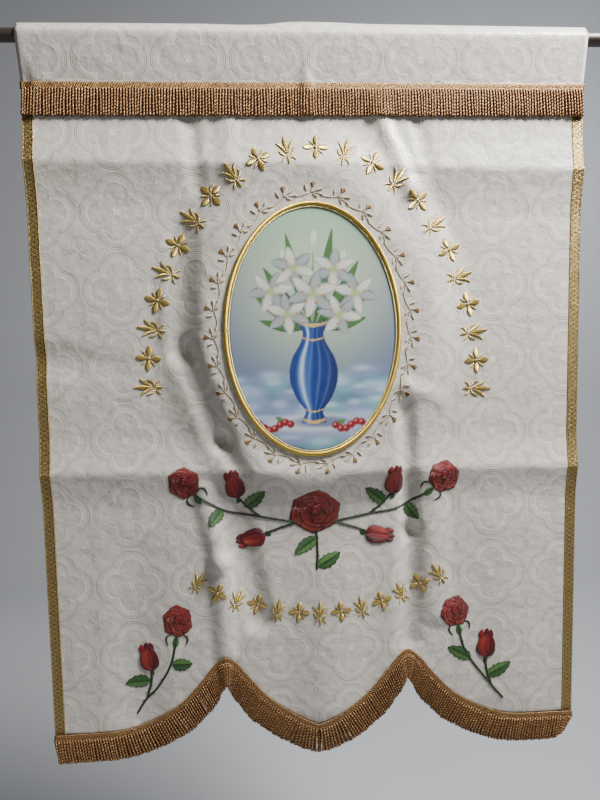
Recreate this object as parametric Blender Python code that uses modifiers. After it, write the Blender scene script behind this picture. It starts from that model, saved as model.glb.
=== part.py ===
"""A church banner of white damask on its rod, as it hangs: cloth, sleeve, fringes, braids and oval picture.

Lengths are metres and +Z is up. The origin is the middle of the rod, on its axis. X runs along the rod,
and the front of the banner faces -Y.
"""

import math
from itertools import pairwise

import bmesh
import bpy
from mathutils import Vector
from mathutils.bvhtree import BVHTree

# The rod and the sleeve that folds over it
ROD_RADIUS = 0.010
ROD_OVERHANG = 0.072
ROD_SIDES = 32
ROD_EDGE_BEVEL = 0.001

# The cloth
CLOTH_WIDTH = 0.88
CLOTH_THICKNESS = 0.0016
SEWN_GAP = 0.0003
BESIDE = 0.003
EDGE_INSET = 0.0005
TRIM_STANDOFF = 0.0008
SEAM_Z = -0.069
HEM_TAIL = 0.012
SLEEVE_FLARE = 0.002
HALF_WIDTH = CLOTH_WIDTH / 2
SLEEVE_RADIUS = ROD_RADIUS + SEWN_GAP + CLOTH_THICKNESS / 2
CREASE_HALF_WIDTH = 0.0010

# The pressed crease along the sleeve's top: x along the rod, and the angle at which the cloth leaves the rod
SLEEVE_CREASE = (
    (-0.44, 37.5),
    (-0.30, 36.0),
    (-0.16, 36.0),
    (-0.08, 38.0),
    (-0.03, 29.0),
    (0.03, 28.5),
    (0.09, 31.5),
    (0.22, 33.5),
    (0.44, 37.0),
)

# The upper line of the hem's fringe: x from the middle, and height above the lowest point of the cloth's middle
HEM_LOW_Z = -1.114
HEM_LINE = (
    (0.000, 0.0000),
    (0.032, 0.0145),
    (0.084, 0.0510),
    (0.116, 0.0880),
    (0.137, 0.1135),
    (0.153, 0.1240),
    (0.174, 0.1095),
    (0.197, 0.0810),
    (0.238, 0.0405),
    (0.304, 0.0085),
    (0.361, 0.0015),
    (0.440, 0.0010),
)
SCALLOP_TOP_Z = -0.93

# Fringe: a woven heading with hanging strands
HEADING_HEIGHT = 0.009
FRINGE_HEIGHT = 0.050
FRINGE_THICKNESS = 0.0024
STRAND_SHARE = 0.74
TIP_UNEVEN = 0.0012
TOP_STRANDS = 92
HEM_STRANDS = 116
HEM_EDGE_BELOW = 0.0045
HEM_FINE_STEPS = 4000
FRINGE_END_INSET = 0.001
TIP_FORWARD = 0.001
TOP_TIP_SPREAD = 0.003

# Near a cusp the strands' feet stay upright, and their tips close up towards it
CUSP_PULL = 0.021
CUSP_REACH = 0.032
CUSP_FEET_REACH = 0.012
FOOT_LEAN = 0.7
FOOT_LEAST_DROP = 0.75
LEVEL_PULL_SHARE = 0.25
SLOPE_PULL = 1.4
MIDDLE_LOBE_EASE = 0.04

# The last strands at the right end are frayed, shorter and drawn inward
FRAYED_STRANDS = 7
FRAYED_INWARD = 0.010
FRAYED_SHORTER = 0.32

# Braids down both sides, under the ends of the fringes
BRAID_WIDTH = 0.0175
BRAID_THICKNESS = 0.0011
BRAID_TOP_Z = SEAM_Z - 0.002
BRAID_CUT_MARGIN = 0.01
BRAID_RISE_START = 0.014
BRAID_RISE_RUN = 0.010

# The oval picture and the padded band round it
OVAL_CENTRE_Z = -0.453
BAND_HALF_X = 0.142
BAND_HALF_Z = 0.2015
BAND_WIDTH = 0.0105
BAND_CROWN = 0.0028
PICTURE_THICKNESS = 0.0009
PICTURE_SIDES = 56
BAND_STEPS = 60
BAND_SIDES = 6

# Rose sprays, raised in thick embroidery. The middle one is mirrored onto the left, but for its own leaves
EMBROIDERY_THICKNESS = 0.0012
STEM_HALF_WIDTH = 0.0019
ROSE_SIDES = 28
ROSE_PETALS = 7
ROSE_PETAL_SWELL = 0.045
LEAF_STEPS = 6
LEAF_ROUNDNESS = 0.9
BUD_ROUNDNESS = 0.55
STEM_STEPS = 5
MIDDLE_SPRAY = {
    # Roses: middle x, z, half width, half height
    "roses": ((0.213, -0.695, 0.0250, 0.0255),),
    # Buds and leaves: base x, z, tip x, z, half width
    "buds": ((0.128, -0.722, 0.135, -0.674, 0.0150), (0.083, -0.787, 0.131, -0.796, 0.0150)),
    "leaves": ((0.116, -0.738, 0.082, -0.710, 0.0085), (0.152, -0.741, 0.173, -0.768, 0.0085)),
    # Stems: the points that each passes through
    "stems": (
        ((0.030, -0.766), (0.088, -0.755), (0.146, -0.744), (0.198, -0.712)),
        ((0.089, -0.755), (0.110, -0.739), (0.129, -0.718)),
        ((0.030, -0.766), (0.060, -0.775), (0.090, -0.786)),
    ),
}
MIDDLE_OWN = {
    "roses": ((0.000, -0.748, 0.0410, 0.0345),),
    "buds": (),
    "leaves": ((0.002, -0.793, -0.035, -0.821, 0.0095), (0.003, -0.841, 0.0405, -0.818, 0.0110)),
    "stems": (((0.001, -0.778), (0.003, -0.815), (0.001, -0.847)),),
}
SIDE_SPRAY = {
    "roses": ((0.233, -0.928, 0.0240, 0.0255),),
    "buds": ((0.286, -1.011, 0.291, -0.962, 0.0150),),
    "leaves": ((0.262, -1.013, 0.222, -0.991, 0.0085), (0.290, -1.043, 0.330, -1.019, 0.0085)),
    "stems": (
        ((0.240, -0.950), (0.254, -1.001), (0.295, -1.057), (0.318, -1.084)),
        ((0.286, -1.007), (0.290, -1.035), (0.298, -1.060)),
    ),
}

# The stiff oval pushes the cloth round it forward, and the cloth falls back beyond the wreath
BULGE_PROUD = 0.017
BULGE_HALF_X = 0.165
BULGE_HALF_Z = 0.215
BULGE_FALL = 0.58
BULGE_FALL_RIGHT = 0.46
BULGE_SHIFT_RIGHT = 0.020

# Storage creases, each a ridge across the cloth: height at the middle, slope along x, reach, how proud
STORAGE_CREASES = (
    (-0.1945, -0.0202, 0.075, 0.0090),
    (-0.6795, -0.0094, 0.060, 0.0080),
)
CREASE_SHARPNESS = 1.6
CREASE_FADE_AT_OVAL = 4

# Folds: upper end (x, z), lower end (x, z), half width, and how proud the upper and lower ends are
FOLDS = (
    (-0.200, -0.300, -0.205, -0.480, 0.034, -0.004, -0.007),
    (-0.205, -0.480, -0.150, -0.625, 0.030, -0.007, -0.009),
    (-0.150, -0.625, -0.112, -0.690, 0.022, -0.008, -0.003),
    (-0.184, -0.705, -0.158, -0.830, 0.024, 0.004, 0.008),
    (-0.158, -0.830, -0.152, -0.985, 0.026, 0.008, 0.005),
    (-0.126, -0.760, -0.098, -0.930, 0.034, -0.005, -0.008),
    (0.148, -0.585, 0.160, -0.790, 0.022, -0.007, -0.009),
    (0.160, -0.790, 0.156, -0.975, 0.028, -0.009, -0.006),
    (0.196, -0.700, 0.205, -0.930, 0.034, 0.003, 0.005),
    (0.030, -0.860, 0.020, -1.080, 0.075, 0.003, 0.007),
    (-0.188, -0.110, -0.176, -0.225, 0.020, -0.004, -0.003),
    (-0.130, -0.110, -0.125, -0.210, 0.024, 0.003, 0.002),
    (0.108, -0.110, 0.160, -0.235, 0.020, 0.005, 0.005),
    (0.160, -0.235, 0.215, -0.340, 0.034, 0.005, 0.002),
    (0.166, -0.110, 0.190, -0.200, 0.018, -0.003, -0.002),
    (-0.440, -0.490, -0.320, -0.505, 0.038, -0.005, -0.002),
    (0.150, -0.545, 0.210, -0.570, 0.022, 0.004, 0.002),
    (-0.300, -0.820, -0.300, -1.080, 0.060, -0.002, -0.005),
    (0.330, -0.780, 0.340, -1.080, 0.070, 0.002, 0.004),
    (-0.006, -0.012, -0.002, -0.075, 0.012, 0.001, 0.003),
    (-0.440, -0.030, -0.432, -0.085, 0.018, -0.002, -0.003),
)
FOLD_START_Z = -0.012
FOLD_START_REACH = 0.030

# Where the cloth's mesh has its columns (x from the middle) and its rows above the scallops (z)
COLUMNS = (
    0.026, 0.052, 0.078, 0.100, 0.118, 0.136, 0.153, 0.168, 0.184,
    0.201, 0.219, 0.240, 0.268, 0.304, 0.345, 0.388, 0.420, HALF_WIDTH,
)
HEM_ROWS = (0.0, 0.17, 0.38, 0.60, 0.80)
PANEL_ROWS = (
    SCALLOP_TOP_Z, -0.895, -0.860, -0.825, -0.790, -0.755, -0.722, -0.699, -0.6795, -0.660,
    -0.632, -0.600, -0.570, -0.535, -0.500, -0.460, -0.420, -0.380, -0.345, -0.310,
    -0.275, -0.245, -0.218, -0.1945, -0.172, -0.142, -0.116, -0.092, SEAM_Z,
)
SLEEVE_FRONT_ROWS = (-0.046, -0.022)
SLEEVE_TURNS = (0.0, 0.5, 1.0, 2.0)
SLEEVE_BACK_ROWS = (-0.022, -0.046, SEAM_Z, SEAM_Z - HEM_TAIL)
LEVEL_SLOPES = ((-0.93, 0.0), (-0.6795, -0.0094), (-0.1945, -0.0202), (-0.116, 0.0))

# Half the depth of the prisms that cut trim to its outline
PRISM_HALF_DEPTH = 0.08

# Colours, roughness and metallic value
DAMASK_WHITE = ((0.83, 0.81, 0.77), 0.55, 0.0)
FRINGE_GOLD = ((0.58, 0.36, 0.15), 0.40, 0.6)
BRAID_GOLD = ((0.62, 0.47, 0.20), 0.38, 0.6)
BAND_GOLD = ((0.72, 0.55, 0.17), 0.35, 0.6)
PICTURE_BLUE = ((0.45, 0.56, 0.62), 0.50, 0.0)
ROSE_RED = ((0.42, 0.04, 0.05), 0.50, 0.0)
ROD_BROWN = ((0.10, 0.07, 0.06), 0.50, 0.0)


def eased(share):
    """A share from 0 to 1 that starts and ends level."""
    share = min(1.0, max(0.0, share))
    return share * share * (3 - 2 * share)


def read_line(rows, at):
    """The value of a table of (place, value) rows at a place, straight between the rows."""
    for (start, low), (end, high) in pairwise(rows):
        if at <= end:
            share = min(1.0, max(0.0, (at - start) / (end - start)))
            return low + (high - low) * share
    return rows[-1][1]


def read_curve(rows, at):
    """The value of a table of (place, value) rows at a place, on a smooth curve through the rows."""
    last = len(rows) - 1
    step = next((n for n in range(last) if at <= rows[n + 1][0]), last - 1)
    (start, low), (end, high) = rows[step], rows[step + 1]

    def slope(row):
        before, after = rows[max(0, row - 1)], rows[min(last, row + 1)]
        return (after[1] - before[1]) / (after[0] - before[0])

    run = end - start
    share = min(1.0, max(0.0, (at - start) / run))
    square, cube = share**2, share**3
    return (
        (2 * cube - 3 * square + 1) * low
        + (cube - 2 * square + share) * run * slope(step)
        + (3 * square - 2 * cube) * high
        + (cube - square) * run * slope(step + 1)
    )


def hem_line(x):
    """Height of the upper line of the hem's fringe."""
    return HEM_LOW_Z + read_curve(HEM_LINE, abs(x))


def hem_outward(x):
    """Direction in the banner's plane that points square out of the hem line, as (x, z)."""
    run = 2 * BESIDE
    rise = hem_line(x + run / 2) - hem_line(x - run / 2)
    length = math.hypot(rise, run)
    return rise / length, -run / length


def hem_edge(x):
    """Height of the cloth's cut edge, under the fringe's heading."""
    return hem_line(x) - HEM_EDGE_BELOW


def one_fold(fold, x, z):
    """How far one fold lifts the cloth forward at a place."""
    x_upper, z_upper, x_lower, z_lower, half_width, proud_upper, proud_lower = fold
    run_x, run_z = x_lower - x_upper, z_lower - z_upper
    share = ((x - x_upper) * run_x + (z - z_upper) * run_z) / (run_x**2 + run_z**2)
    share = min(1.0, max(0.0, share))
    apart = math.hypot(x - x_upper - share * run_x, z - z_upper - share * run_z) / half_width
    if apart >= 1:
        return 0.0
    return (proud_upper + (proud_lower - proud_upper) * share) * (1 - apart**2) ** 2


def oval_bulge(x, z):
    """How far the stiff oval holds the cloth forward."""
    half_x = BULGE_HALF_X + (BULGE_SHIFT_RIGHT if x > 0 else 0.0)
    out = math.hypot(x / half_x, (z - OVAL_CENTRE_Z) / BULGE_HALF_Z)
    fall = BULGE_FALL + (BULGE_FALL_RIGHT - BULGE_FALL) * eased(x / BULGE_HALF_X)
    return BULGE_PROUD * (1 - eased((out - 1) / fall))


def storage_crease(crease, x, z):
    """How proud the cloth is beside a crease that it was folded on in store."""
    middle_z, slope, reach, ridge = crease
    apart = abs(z - middle_z - slope * x) / reach
    beyond_band = math.hypot(x / BAND_HALF_X, (z - OVAL_CENTRE_Z) / BAND_HALF_Z) - 1
    return ridge * max(0.0, 1 - apart) ** CREASE_SHARPNESS * eased(beyond_band * CREASE_FADE_AT_OVAL)


def proud(x, z):
    """How far the cloth stands forward of the plane under the rod."""
    forward = oval_bulge(x, z)
    forward += sum(one_fold(fold, x, z) for fold in FOLDS)
    forward += sum(storage_crease(crease, x, z) for crease in STORAGE_CREASES)
    return forward * eased((FOLD_START_Z - z) / FOLD_START_REACH)


def panel_row(row_z):
    """A row of the panel, as a function that gives a point for x."""

    def point(x):
        z = row_z + read_line(LEVEL_SLOPES, row_z) * x
        return Vector((x, -proud(x, z), z))

    return point


def hem_row(share):
    """A row between the cut edge and the level where the scallops begin."""

    def point(x):
        z = hem_edge(x) + (SCALLOP_TOP_Z - hem_edge(x)) * share
        return Vector((x, -proud(x, z), z))

    return point


def sleeve_side(row_z, side):
    """A row of the sleeve's front (side -1) or back (side 1), on the straight run from seam to rod."""
    touch_angle = math.asin(SLEEVE_RADIUS / -SEAM_Z)
    touch_y = SLEEVE_RADIUS * math.cos(touch_angle)
    touch_z = -SLEEVE_RADIUS * math.sin(touch_angle)
    share = min(1.0, max(0.0, (row_z - SEAM_Z) / (touch_z - SEAM_Z)))
    behind = (CLOTH_THICKNESS + SEWN_GAP) if side > 0 else 0.0

    def point(x):
        stretched = x * (1 + SLEEVE_FLARE / HALF_WIDTH * share)
        fold_y = -proud(x, row_z) * (1 - share)
        return Vector((stretched, side * touch_y * share + behind * (1 - share) + fold_y, row_z))

    return point


def over_rod(turn, side):
    """A row on the rod's round, front (side -1) or back (side 1). turn is the share of the way from the level
    of the rod's axis to where the cloth leaves the rod. Past 1 the row is beside the pressed crease."""

    def point(x):
        leave = math.radians(read_curve(SLEEVE_CREASE, x))
        stretched = x * (1 + SLEEVE_FLARE / HALF_WIDTH)
        if turn > 1:
            crest = (SLEEVE_RADIUS - CREASE_HALF_WIDTH * math.cos(leave)) / math.sin(leave)
            return Vector((stretched, side * CREASE_HALF_WIDTH, crest))
        angle = leave * turn
        across, up = SLEEVE_RADIUS * math.cos(angle), SLEEVE_RADIUS * math.sin(angle)
        return Vector((stretched, side * across, up))

    return point


def cloth_rows():
    """Every row of the cloth, from the cut edge up the front, over the rod and down to the sleeve's hem."""
    rows = [hem_row(share) for share in HEM_ROWS]
    rows += [panel_row(z) for z in PANEL_ROWS]
    rows += [sleeve_side(z, -1) for z in SLEEVE_FRONT_ROWS]
    rows += [over_rod(turn, -1) for turn in SLEEVE_TURNS]
    rows += [over_rod(turn, 1) for turn in reversed(SLEEVE_TURNS)]
    rows += [sleeve_side(z, 1) for z in SLEEVE_BACK_ROWS]
    return rows


def make_material(name, look):
    """A material with a plain colour, roughness and metallic value."""
    colour, roughness, metallic = look
    material = bpy.data.materials.new(name)
    material.use_nodes = True
    shader = material.node_tree.nodes["Principled BSDF"]
    shader.inputs["Base Color"].default_value = (*colour, 1.0)
    shader.inputs["Roughness"].default_value = roughness
    shader.inputs["Metallic"].default_value = metallic
    material.diffuse_color = (*colour, 1.0)
    return material


def add_object(name, mesh, collection, material=None):
    """Puts a mesh into a collection as a named object."""
    made = bpy.data.objects.new(name, mesh)
    collection.objects.link(made)
    if material:
        mesh.materials.append(material)
    return made


def sheet_of(name, rows, columns, keep=lambda column, row: True):
    """A mesh grid through rows of points, one for each column, with the faces that keep allows."""
    shape = bmesh.new()
    bmesh.ops.create_grid(shape, x_segments=len(columns) - 1, y_segments=len(rows) - 1, size=0.5)
    shape.verts.ensure_lookup_table()
    cells = {}
    for face in shape.faces:
        middle = face.calc_center_median()
        column = round((middle.x + 0.5) * (len(columns) - 1) - 0.5)
        row = round((middle.y + 0.5) * (len(rows) - 1) - 0.5)
        cells[face] = (column, row)
    dropped = [face for face, cell in cells.items() if not keep(*cell)]
    for vertex in shape.verts:
        column = round((vertex.co.x + 0.5) * (len(columns) - 1))
        row = round((vertex.co.y + 0.5) * (len(rows) - 1))
        vertex.co = rows[row](columns[column])
    bmesh.ops.delete(shape, geom=dropped, context="FACES")
    bmesh.ops.triangulate(shape, faces=shape.faces[:], quad_method="FIXED")
    shape.normal_update()
    mesh = bpy.data.meshes.new(name)
    shape.to_mesh(mesh)
    shape.free()
    return mesh


def thicken(made, thickness, offset):
    """Gives a sheet its thickness. Offset 0 grows it both ways, and 1 grows it along its normals."""
    solidify = made.modifiers.new("Thickness", "SOLIDIFY")
    solidify.thickness = thickness
    solidify.offset = offset
    return made


def make_rod(collection, material):
    """The plain round rod, with its edges eased."""
    length = CLOTH_WIDTH + 2 * (SLEEVE_FLARE + ROD_OVERHANG)
    shape = bmesh.new()
    bmesh.ops.create_cone(
        shape, cap_ends=True, segments=ROD_SIDES, radius1=ROD_RADIUS, radius2=ROD_RADIUS, depth=length
    )
    mesh = bpy.data.meshes.new("rod")
    shape.to_mesh(mesh)
    shape.free()
    rod = add_object("rod", mesh, collection, material)
    rod.rotation_euler = (0.0, math.radians(90), 0.0)
    bevel = rod.modifiers.new("Eased ends", "BEVEL")
    bevel.width = ROD_EDGE_BEVEL
    bevel.segments = 1
    bevel.limit_method = "ANGLE"
    mesh.shade_smooth()
    mesh.set_sharp_from_angle(angle=math.radians(40))
    return rod


def cloth_columns():
    """Places of the cloth's columns along x, from left to right."""
    right = list(COLUMNS)
    return [-x for x in reversed(right)] + [0.0] + right


def make_cloth(collection, material):
    """The damask: one sheet from the scalloped hem over the rod to the sleeve's hem."""
    mesh = sheet_of("banner_cloth", cloth_rows(), cloth_columns())
    cloth = add_object("banner_cloth", mesh, collection, material)
    return thicken(cloth, CLOTH_THICKNESS, 0.0)


def front_surface():
    """Searches the cloth's front face, as a function that gives the front's y at a place."""
    rows = cloth_rows()[: len(HEM_ROWS) + len(PANEL_ROWS)]
    mesh = sheet_of("front_guide", rows, cloth_columns())
    shape = bmesh.new()
    shape.from_mesh(mesh)
    bpy.data.meshes.remove(mesh)
    tree = BVHTree.FromBMesh(shape)
    shape.free()
    forward = Vector((0.0, 1.0, 0.0))

    def surface_y(x, z):
        inside_x = min(HALF_WIDTH - EDGE_INSET, max(EDGE_INSET - HALF_WIDTH, x))
        inside_z = min(SEAM_Z - EDGE_INSET, z)
        hit = None
        while hit is None:
            hit = tree.ray_cast(Vector((inside_x, -1.0, inside_z)), forward)[0]
            inside_z += EDGE_INSET
        return hit.y

    def front_y(x, z):
        across = [surface_y(x + step, z) for step in (-BESIDE, 0.0, BESIDE)]
        along = [surface_y(x, z + step) for step in (-BESIDE, BESIDE)]
        return min(across + along) - CLOTH_THICKNESS / 2

    return front_y


def over_braid(x):
    """How far a fringe's back stands off the cloth: close to it, and raised where it runs over a braid."""
    start = HALF_WIDTH - BRAID_WIDTH - BRAID_RISE_START
    raised = eased((abs(x) - start) / BRAID_RISE_RUN)
    return TRIM_STANDOFF + (BRAID_THICKNESS + SEWN_GAP) * raised


def strand_places(count, half_width):
    """Places along the heading where strands start and end, in turn."""
    pitch = 2 * half_width / count
    places = []
    for strand in range(count):
        start = -half_width + pitch * (strand + (1 - STRAND_SHARE) / 2)
        places += [start, start + pitch * STRAND_SHARE]
    return [-half_width, *places, half_width]


def uneven(number):
    """A small unevenness between -1 and 1 that differs from strand to strand."""
    return 0.6 * math.sin(2.1 * number + 0.7) + 0.4 * math.sin(5.3 * number)


def is_strand(column, row):
    """True for the heading's cells and for every second cell under it."""
    return row > 0 or column % 2 == 1


def make_top_fringe(collection, material, front_y):
    """The fringe across the front, sewn over the sleeve's seam."""
    places = strand_places(TOP_STRANDS, HALF_WIDTH - FRINGE_END_INSET)
    index = {x: number // 2 for number, x in enumerate(places)}
    root_z = SEAM_Z - HEADING_HEIGHT
    spread = 1 + TOP_TIP_SPREAD / HALF_WIDTH

    def heading_top(x):
        return Vector((x, front_y(x, SEAM_Z) - over_braid(x), SEAM_Z))

    def heading_foot(x):
        return Vector((x, front_y(x, root_z) - over_braid(x), root_z))

    def tips(x):
        z = SEAM_Z - FRINGE_HEIGHT + TIP_UNEVEN * uneven(index[x])
        middle_y = min(front_y(x, z), front_y(x, (z + root_z) / 2))
        return Vector((x * spread, middle_y - over_braid(x) - TIP_FORWARD, z))

    mesh = sheet_of("top_fringe", [tips, heading_foot, heading_top], places, is_strand)
    fringe = add_object("top_fringe", mesh, collection, material)
    return thicken(fringe, FRINGE_THICKNESS, 1.0)


def hem_places():
    """Places along x for the hem's strands, spaced evenly along the hem's curve."""
    xs = [HALF_WIDTH * (2 * n / HEM_FINE_STEPS - 1) for n in range(HEM_FINE_STEPS + 1)]
    lengths = [0.0]
    for before, after in pairwise(xs):
        lengths.append(lengths[-1] + math.hypot(after - before, hem_line(after) - hem_line(before)))
    total = lengths[-1]
    found, step = [], 0
    for place in strand_places(HEM_STRANDS, total / 2 - FRINGE_END_INSET):
        while step < HEM_FINE_STEPS - 1 and lengths[step + 1] < place + total / 2:
            step += 1
        share = (place + total / 2 - lengths[step]) / (lengths[step + 1] - lengths[step])
        found.append(xs[step] + (xs[step + 1] - xs[step]) * share)
    return found


def cusp_x():
    """How far each cusp of the hem lies from the middle."""
    return max(HEM_LINE, key=lambda row: row[1])[0]


def make_hem_fringe(collection, material, front_y):
    """The fringe along the scalloped hem. Its strands lean out from the slopes and close up under the cusps."""
    places = hem_places()
    index = {x: number // 2 for number, x in enumerate(places)}
    strand_length = FRINGE_HEIGHT - HEADING_HEIGHT

    def foot_of(x):
        out_x, out_z = hem_outward(x)
        off_cusp = math.tanh((abs(x) - cusp_x()) / CUSP_FEET_REACH) ** 2
        foot_x = x + HEADING_HEIGHT * out_x * off_cusp * FOOT_LEAN
        return foot_x, hem_line(x) + HEADING_HEIGHT * min(out_z, -FOOT_LEAST_DROP)

    def heading_top(x):
        return Vector((x, front_y(x, hem_line(x)) - over_braid(x), hem_line(x)))

    def heading_foot(x):
        foot_x, foot_z = foot_of(x)
        return Vector((foot_x, front_y(foot_x, foot_z) - over_braid(foot_x), foot_z))

    def tips(x):
        foot_x, foot_z = foot_of(x)
        from_cusp = abs(foot_x) - cusp_x()
        side = 1 if foot_x > 0 else -1
        closing = CUSP_PULL * math.tanh(from_cusp / CUSP_REACH)
        steep = abs(hem_outward(x)[0])
        pull = -side * closing * min(1.0, LEVEL_PULL_SHARE + SLOPE_PULL * steep)
        if abs(foot_x) < cusp_x():
            pull *= min(1.0, abs(foot_x) / MIDDLE_LOBE_EASE)
        drop = math.sqrt(strand_length**2 - pull**2) + TIP_UNEVEN * uneven(index[x])
        frayed = max(0.0, 1 - (HEM_STRANDS - index[x]) / FRAYED_STRANDS)
        tip_x = foot_x + pull - FRAYED_INWARD * frayed
        tip_z = foot_z - drop * (1 - FRAYED_SHORTER * frayed)
        return Vector((tip_x, front_y(foot_x, foot_z) - over_braid(foot_x) - TIP_FORWARD, tip_z))

    mesh = sheet_of("hem_fringe", [tips, heading_foot, heading_top], places, is_strand)
    fringe = add_object("hem_fringe", mesh, collection, material)
    return thicken(fringe, FRINGE_THICKNESS, 1.0)


def make_layer(helpers, thickness):
    """A helper sheet that lies just in front of the cloth, from which flat trim is cut."""
    rows = cloth_rows()[: len(HEM_ROWS) + len(PANEL_ROWS)]
    mesh = sheet_of("layer", rows, cloth_columns())
    layer = add_object("layer", mesh, helpers)
    away = layer.modifiers.new("Off the cloth", "DISPLACE")
    away.mid_level = 0.0
    away.strength = CLOTH_THICKNESS / 2 + SEWN_GAP
    return thicken(layer, thickness, 1.0)


def flat_prism(helpers, points):
    """The mesh of a closed prism over an outline, deep enough to pass through every fold."""
    curve = bpy.data.curves.new("drawn", "CURVE")
    curve.dimensions = "2D"
    curve.fill_mode = "BOTH"
    curve.extrude = PRISM_HALF_DEPTH
    spline = curve.splines.new("POLY")
    spline.points.add(len(points) - 1)
    for point, (x, z) in zip(spline.points, points):
        point.co = (x, z, 0.0, 1.0)
    spline.use_cyclic_u = True
    drawn = bpy.data.objects.new("drawn", curve)
    helpers.objects.link(drawn)
    bpy.context.view_layer.update()
    graph = bpy.context.evaluated_depsgraph_get()
    mesh = bpy.data.meshes.new_from_object(drawn.evaluated_get(graph))
    bpy.data.objects.remove(drawn)
    return mesh


def flat_outline(helpers, name, outlines):
    """One object of closed prisms in the banner's plane. The prisms may run into each other."""
    joined = bmesh.new()
    for points in outlines:
        mesh = flat_prism(helpers, points)
        joined.from_mesh(mesh)
        bpy.data.meshes.remove(mesh)
    bmesh.ops.remove_doubles(joined, verts=joined.verts, dist=0.00001)
    bmesh.ops.recalc_face_normals(joined, faces=joined.faces)
    mesh = bpy.data.meshes.new(name)
    joined.to_mesh(mesh)
    joined.free()
    outline = add_object(name, mesh, helpers)
    outline.rotation_euler = (math.radians(90), 0.0, 0.0)
    return outline


def cut_trim(name, outlines, thickness, collection, helpers, material):
    """A flat piece of trim of the given outlines, lying on the cloth's folds."""
    layer = make_layer(helpers, thickness)
    outline = flat_outline(helpers, name + "_outline", outlines)
    cut = layer.modifiers.new("Outline", "BOOLEAN")
    cut.operation = "INTERSECT"
    cut.solver = "EXACT"
    cut.use_self = len(outlines) > 1
    cut.object = outline
    bpy.context.view_layer.update()
    graph = bpy.context.evaluated_depsgraph_get()
    mesh = bpy.data.meshes.new_from_object(layer.evaluated_get(graph))
    mesh.materials.clear()
    bpy.data.objects.remove(layer)
    bpy.data.objects.remove(outline)
    return add_object(name, mesh, collection, material)


def make_braids(collection, helpers, material):
    """The two braids, flush with the cloth's side edges."""
    for side, name in ((-1, "braid_left"), (1, "braid_right")):
        outer = side * (HALF_WIDTH + BRAID_CUT_MARGIN)
        inner = side * (HALF_WIDTH - BRAID_WIDTH)
        foot = hem_line(HALF_WIDTH) - HEADING_HEIGHT / 2
        corners = [(outer, foot), (inner, foot), (inner, BRAID_TOP_Z), (outer, BRAID_TOP_Z)]
        cut_trim(name, [corners], BRAID_THICKNESS, collection, helpers, material)


def make_picture(collection, helpers, material):
    """The printed oval inside the band."""
    half_x = BAND_HALF_X - BAND_WIDTH - SEWN_GAP
    half_z = BAND_HALF_Z - BAND_WIDTH - SEWN_GAP
    turns = [2 * math.pi * n / PICTURE_SIDES for n in range(PICTURE_SIDES)]
    points = [(half_x * math.cos(a), OVAL_CENTRE_Z + half_z * math.sin(a)) for a in turns]
    cut_trim("oval_picture", [points], PICTURE_THICKNESS, collection, helpers, material)


def rose_outline(x, z, half_x, half_z):
    """The lobed outline of an open rose."""
    points = []
    for side in range(ROSE_SIDES):
        turn = 2 * math.pi * side / ROSE_SIDES
        swell = 1 + ROSE_PETAL_SWELL * (math.cos(ROSE_PETALS * turn) - 1)
        points.append((x + half_x * swell * math.cos(turn), z + half_z * swell * math.sin(turn)))
    return points


def leaf_outline(base_x, base_z, tip_x, tip_z, half_width, roundness):
    """The outline of a leaf or bud from base to tip. A roundness under 1 makes its sides fuller."""
    run_x, run_z = tip_x - base_x, tip_z - base_z
    length = math.hypot(run_x, run_z)
    beside = []
    for step in range(1, LEAF_STEPS):
        share = step / LEAF_STEPS
        width = half_width * math.sin(math.pi * share) ** roundness
        beside.append((share, width / length))
    right = [(base_x + run_x * s + run_z * w, base_z + run_z * s - run_x * w) for s, w in beside]
    left = [(base_x + run_x * s - run_z * w, base_z + run_z * s + run_x * w) for s, w in beside]
    return [(base_x, base_z), *right, (tip_x, tip_z), *reversed(left)]


def smooth_path(points):
    """A curve through the points of a stem, as a finer list of points."""
    path = []
    ends = [points[0], *points, points[-1]]
    for before, start, end, after in zip(ends, ends[1:], ends[2:], ends[3:]):
        for step in range(STEM_STEPS):
            share = step / STEM_STEPS
            near, far = 1 - share, share
            path.append(tuple(
                near * near * (1 + 2 * share) * a + far * far * (3 - 2 * share) * b
                + share * near * near * (b - before[axis]) / 2 - far * far * near * (after[axis] - a) / 2
                for axis, (a, b) in enumerate(zip(start, end))
            ))
    return [*path, points[-1]]


def stem_outline(points):
    """The ribbon of a stem along its smooth path."""
    path = smooth_path(points)
    left, right = [], []
    for number, (x, z) in enumerate(path):
        before, after = path[max(0, number - 1)], path[min(len(path) - 1, number + 1)]
        run_x, run_z = after[0] - before[0], after[1] - before[1]
        scale = STEM_HALF_WIDTH / math.hypot(run_x, run_z)
        left.append((x - run_z * scale, z + run_x * scale))
        right.append((x + run_z * scale, z - run_x * scale))
    return left + right[::-1]


def spray_outlines(spray, mirrored):
    """Outlines of a spray's flowers, leaves and stems, as listed or mirrored to the left."""
    outlines = [rose_outline(*row) for row in spray["roses"]]
    outlines += [leaf_outline(*row, BUD_ROUNDNESS) for row in spray["buds"]]
    outlines += [leaf_outline(*row, LEAF_ROUNDNESS) for row in spray["leaves"]]
    outlines += [stem_outline(points) for points in spray["stems"]]
    if mirrored:
        outlines = [[(-x, z) for x, z in reversed(points)] for points in outlines]
    return outlines


def make_roses(collection, helpers, material):
    """The three rose sprays."""
    middle = spray_outlines(MIDDLE_OWN, False)
    middle += spray_outlines(MIDDLE_SPRAY, False) + spray_outlines(MIDDLE_SPRAY, True)
    sprays = {
        "rose_spray_middle": middle,
        "rose_spray_left": spray_outlines(SIDE_SPRAY, True),
        "rose_spray_right": spray_outlines(SIDE_SPRAY, False),
    }
    for name, outlines in sprays.items():
        cut_trim(name, outlines, EMBROIDERY_THICKNESS, collection, helpers, material)


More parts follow.
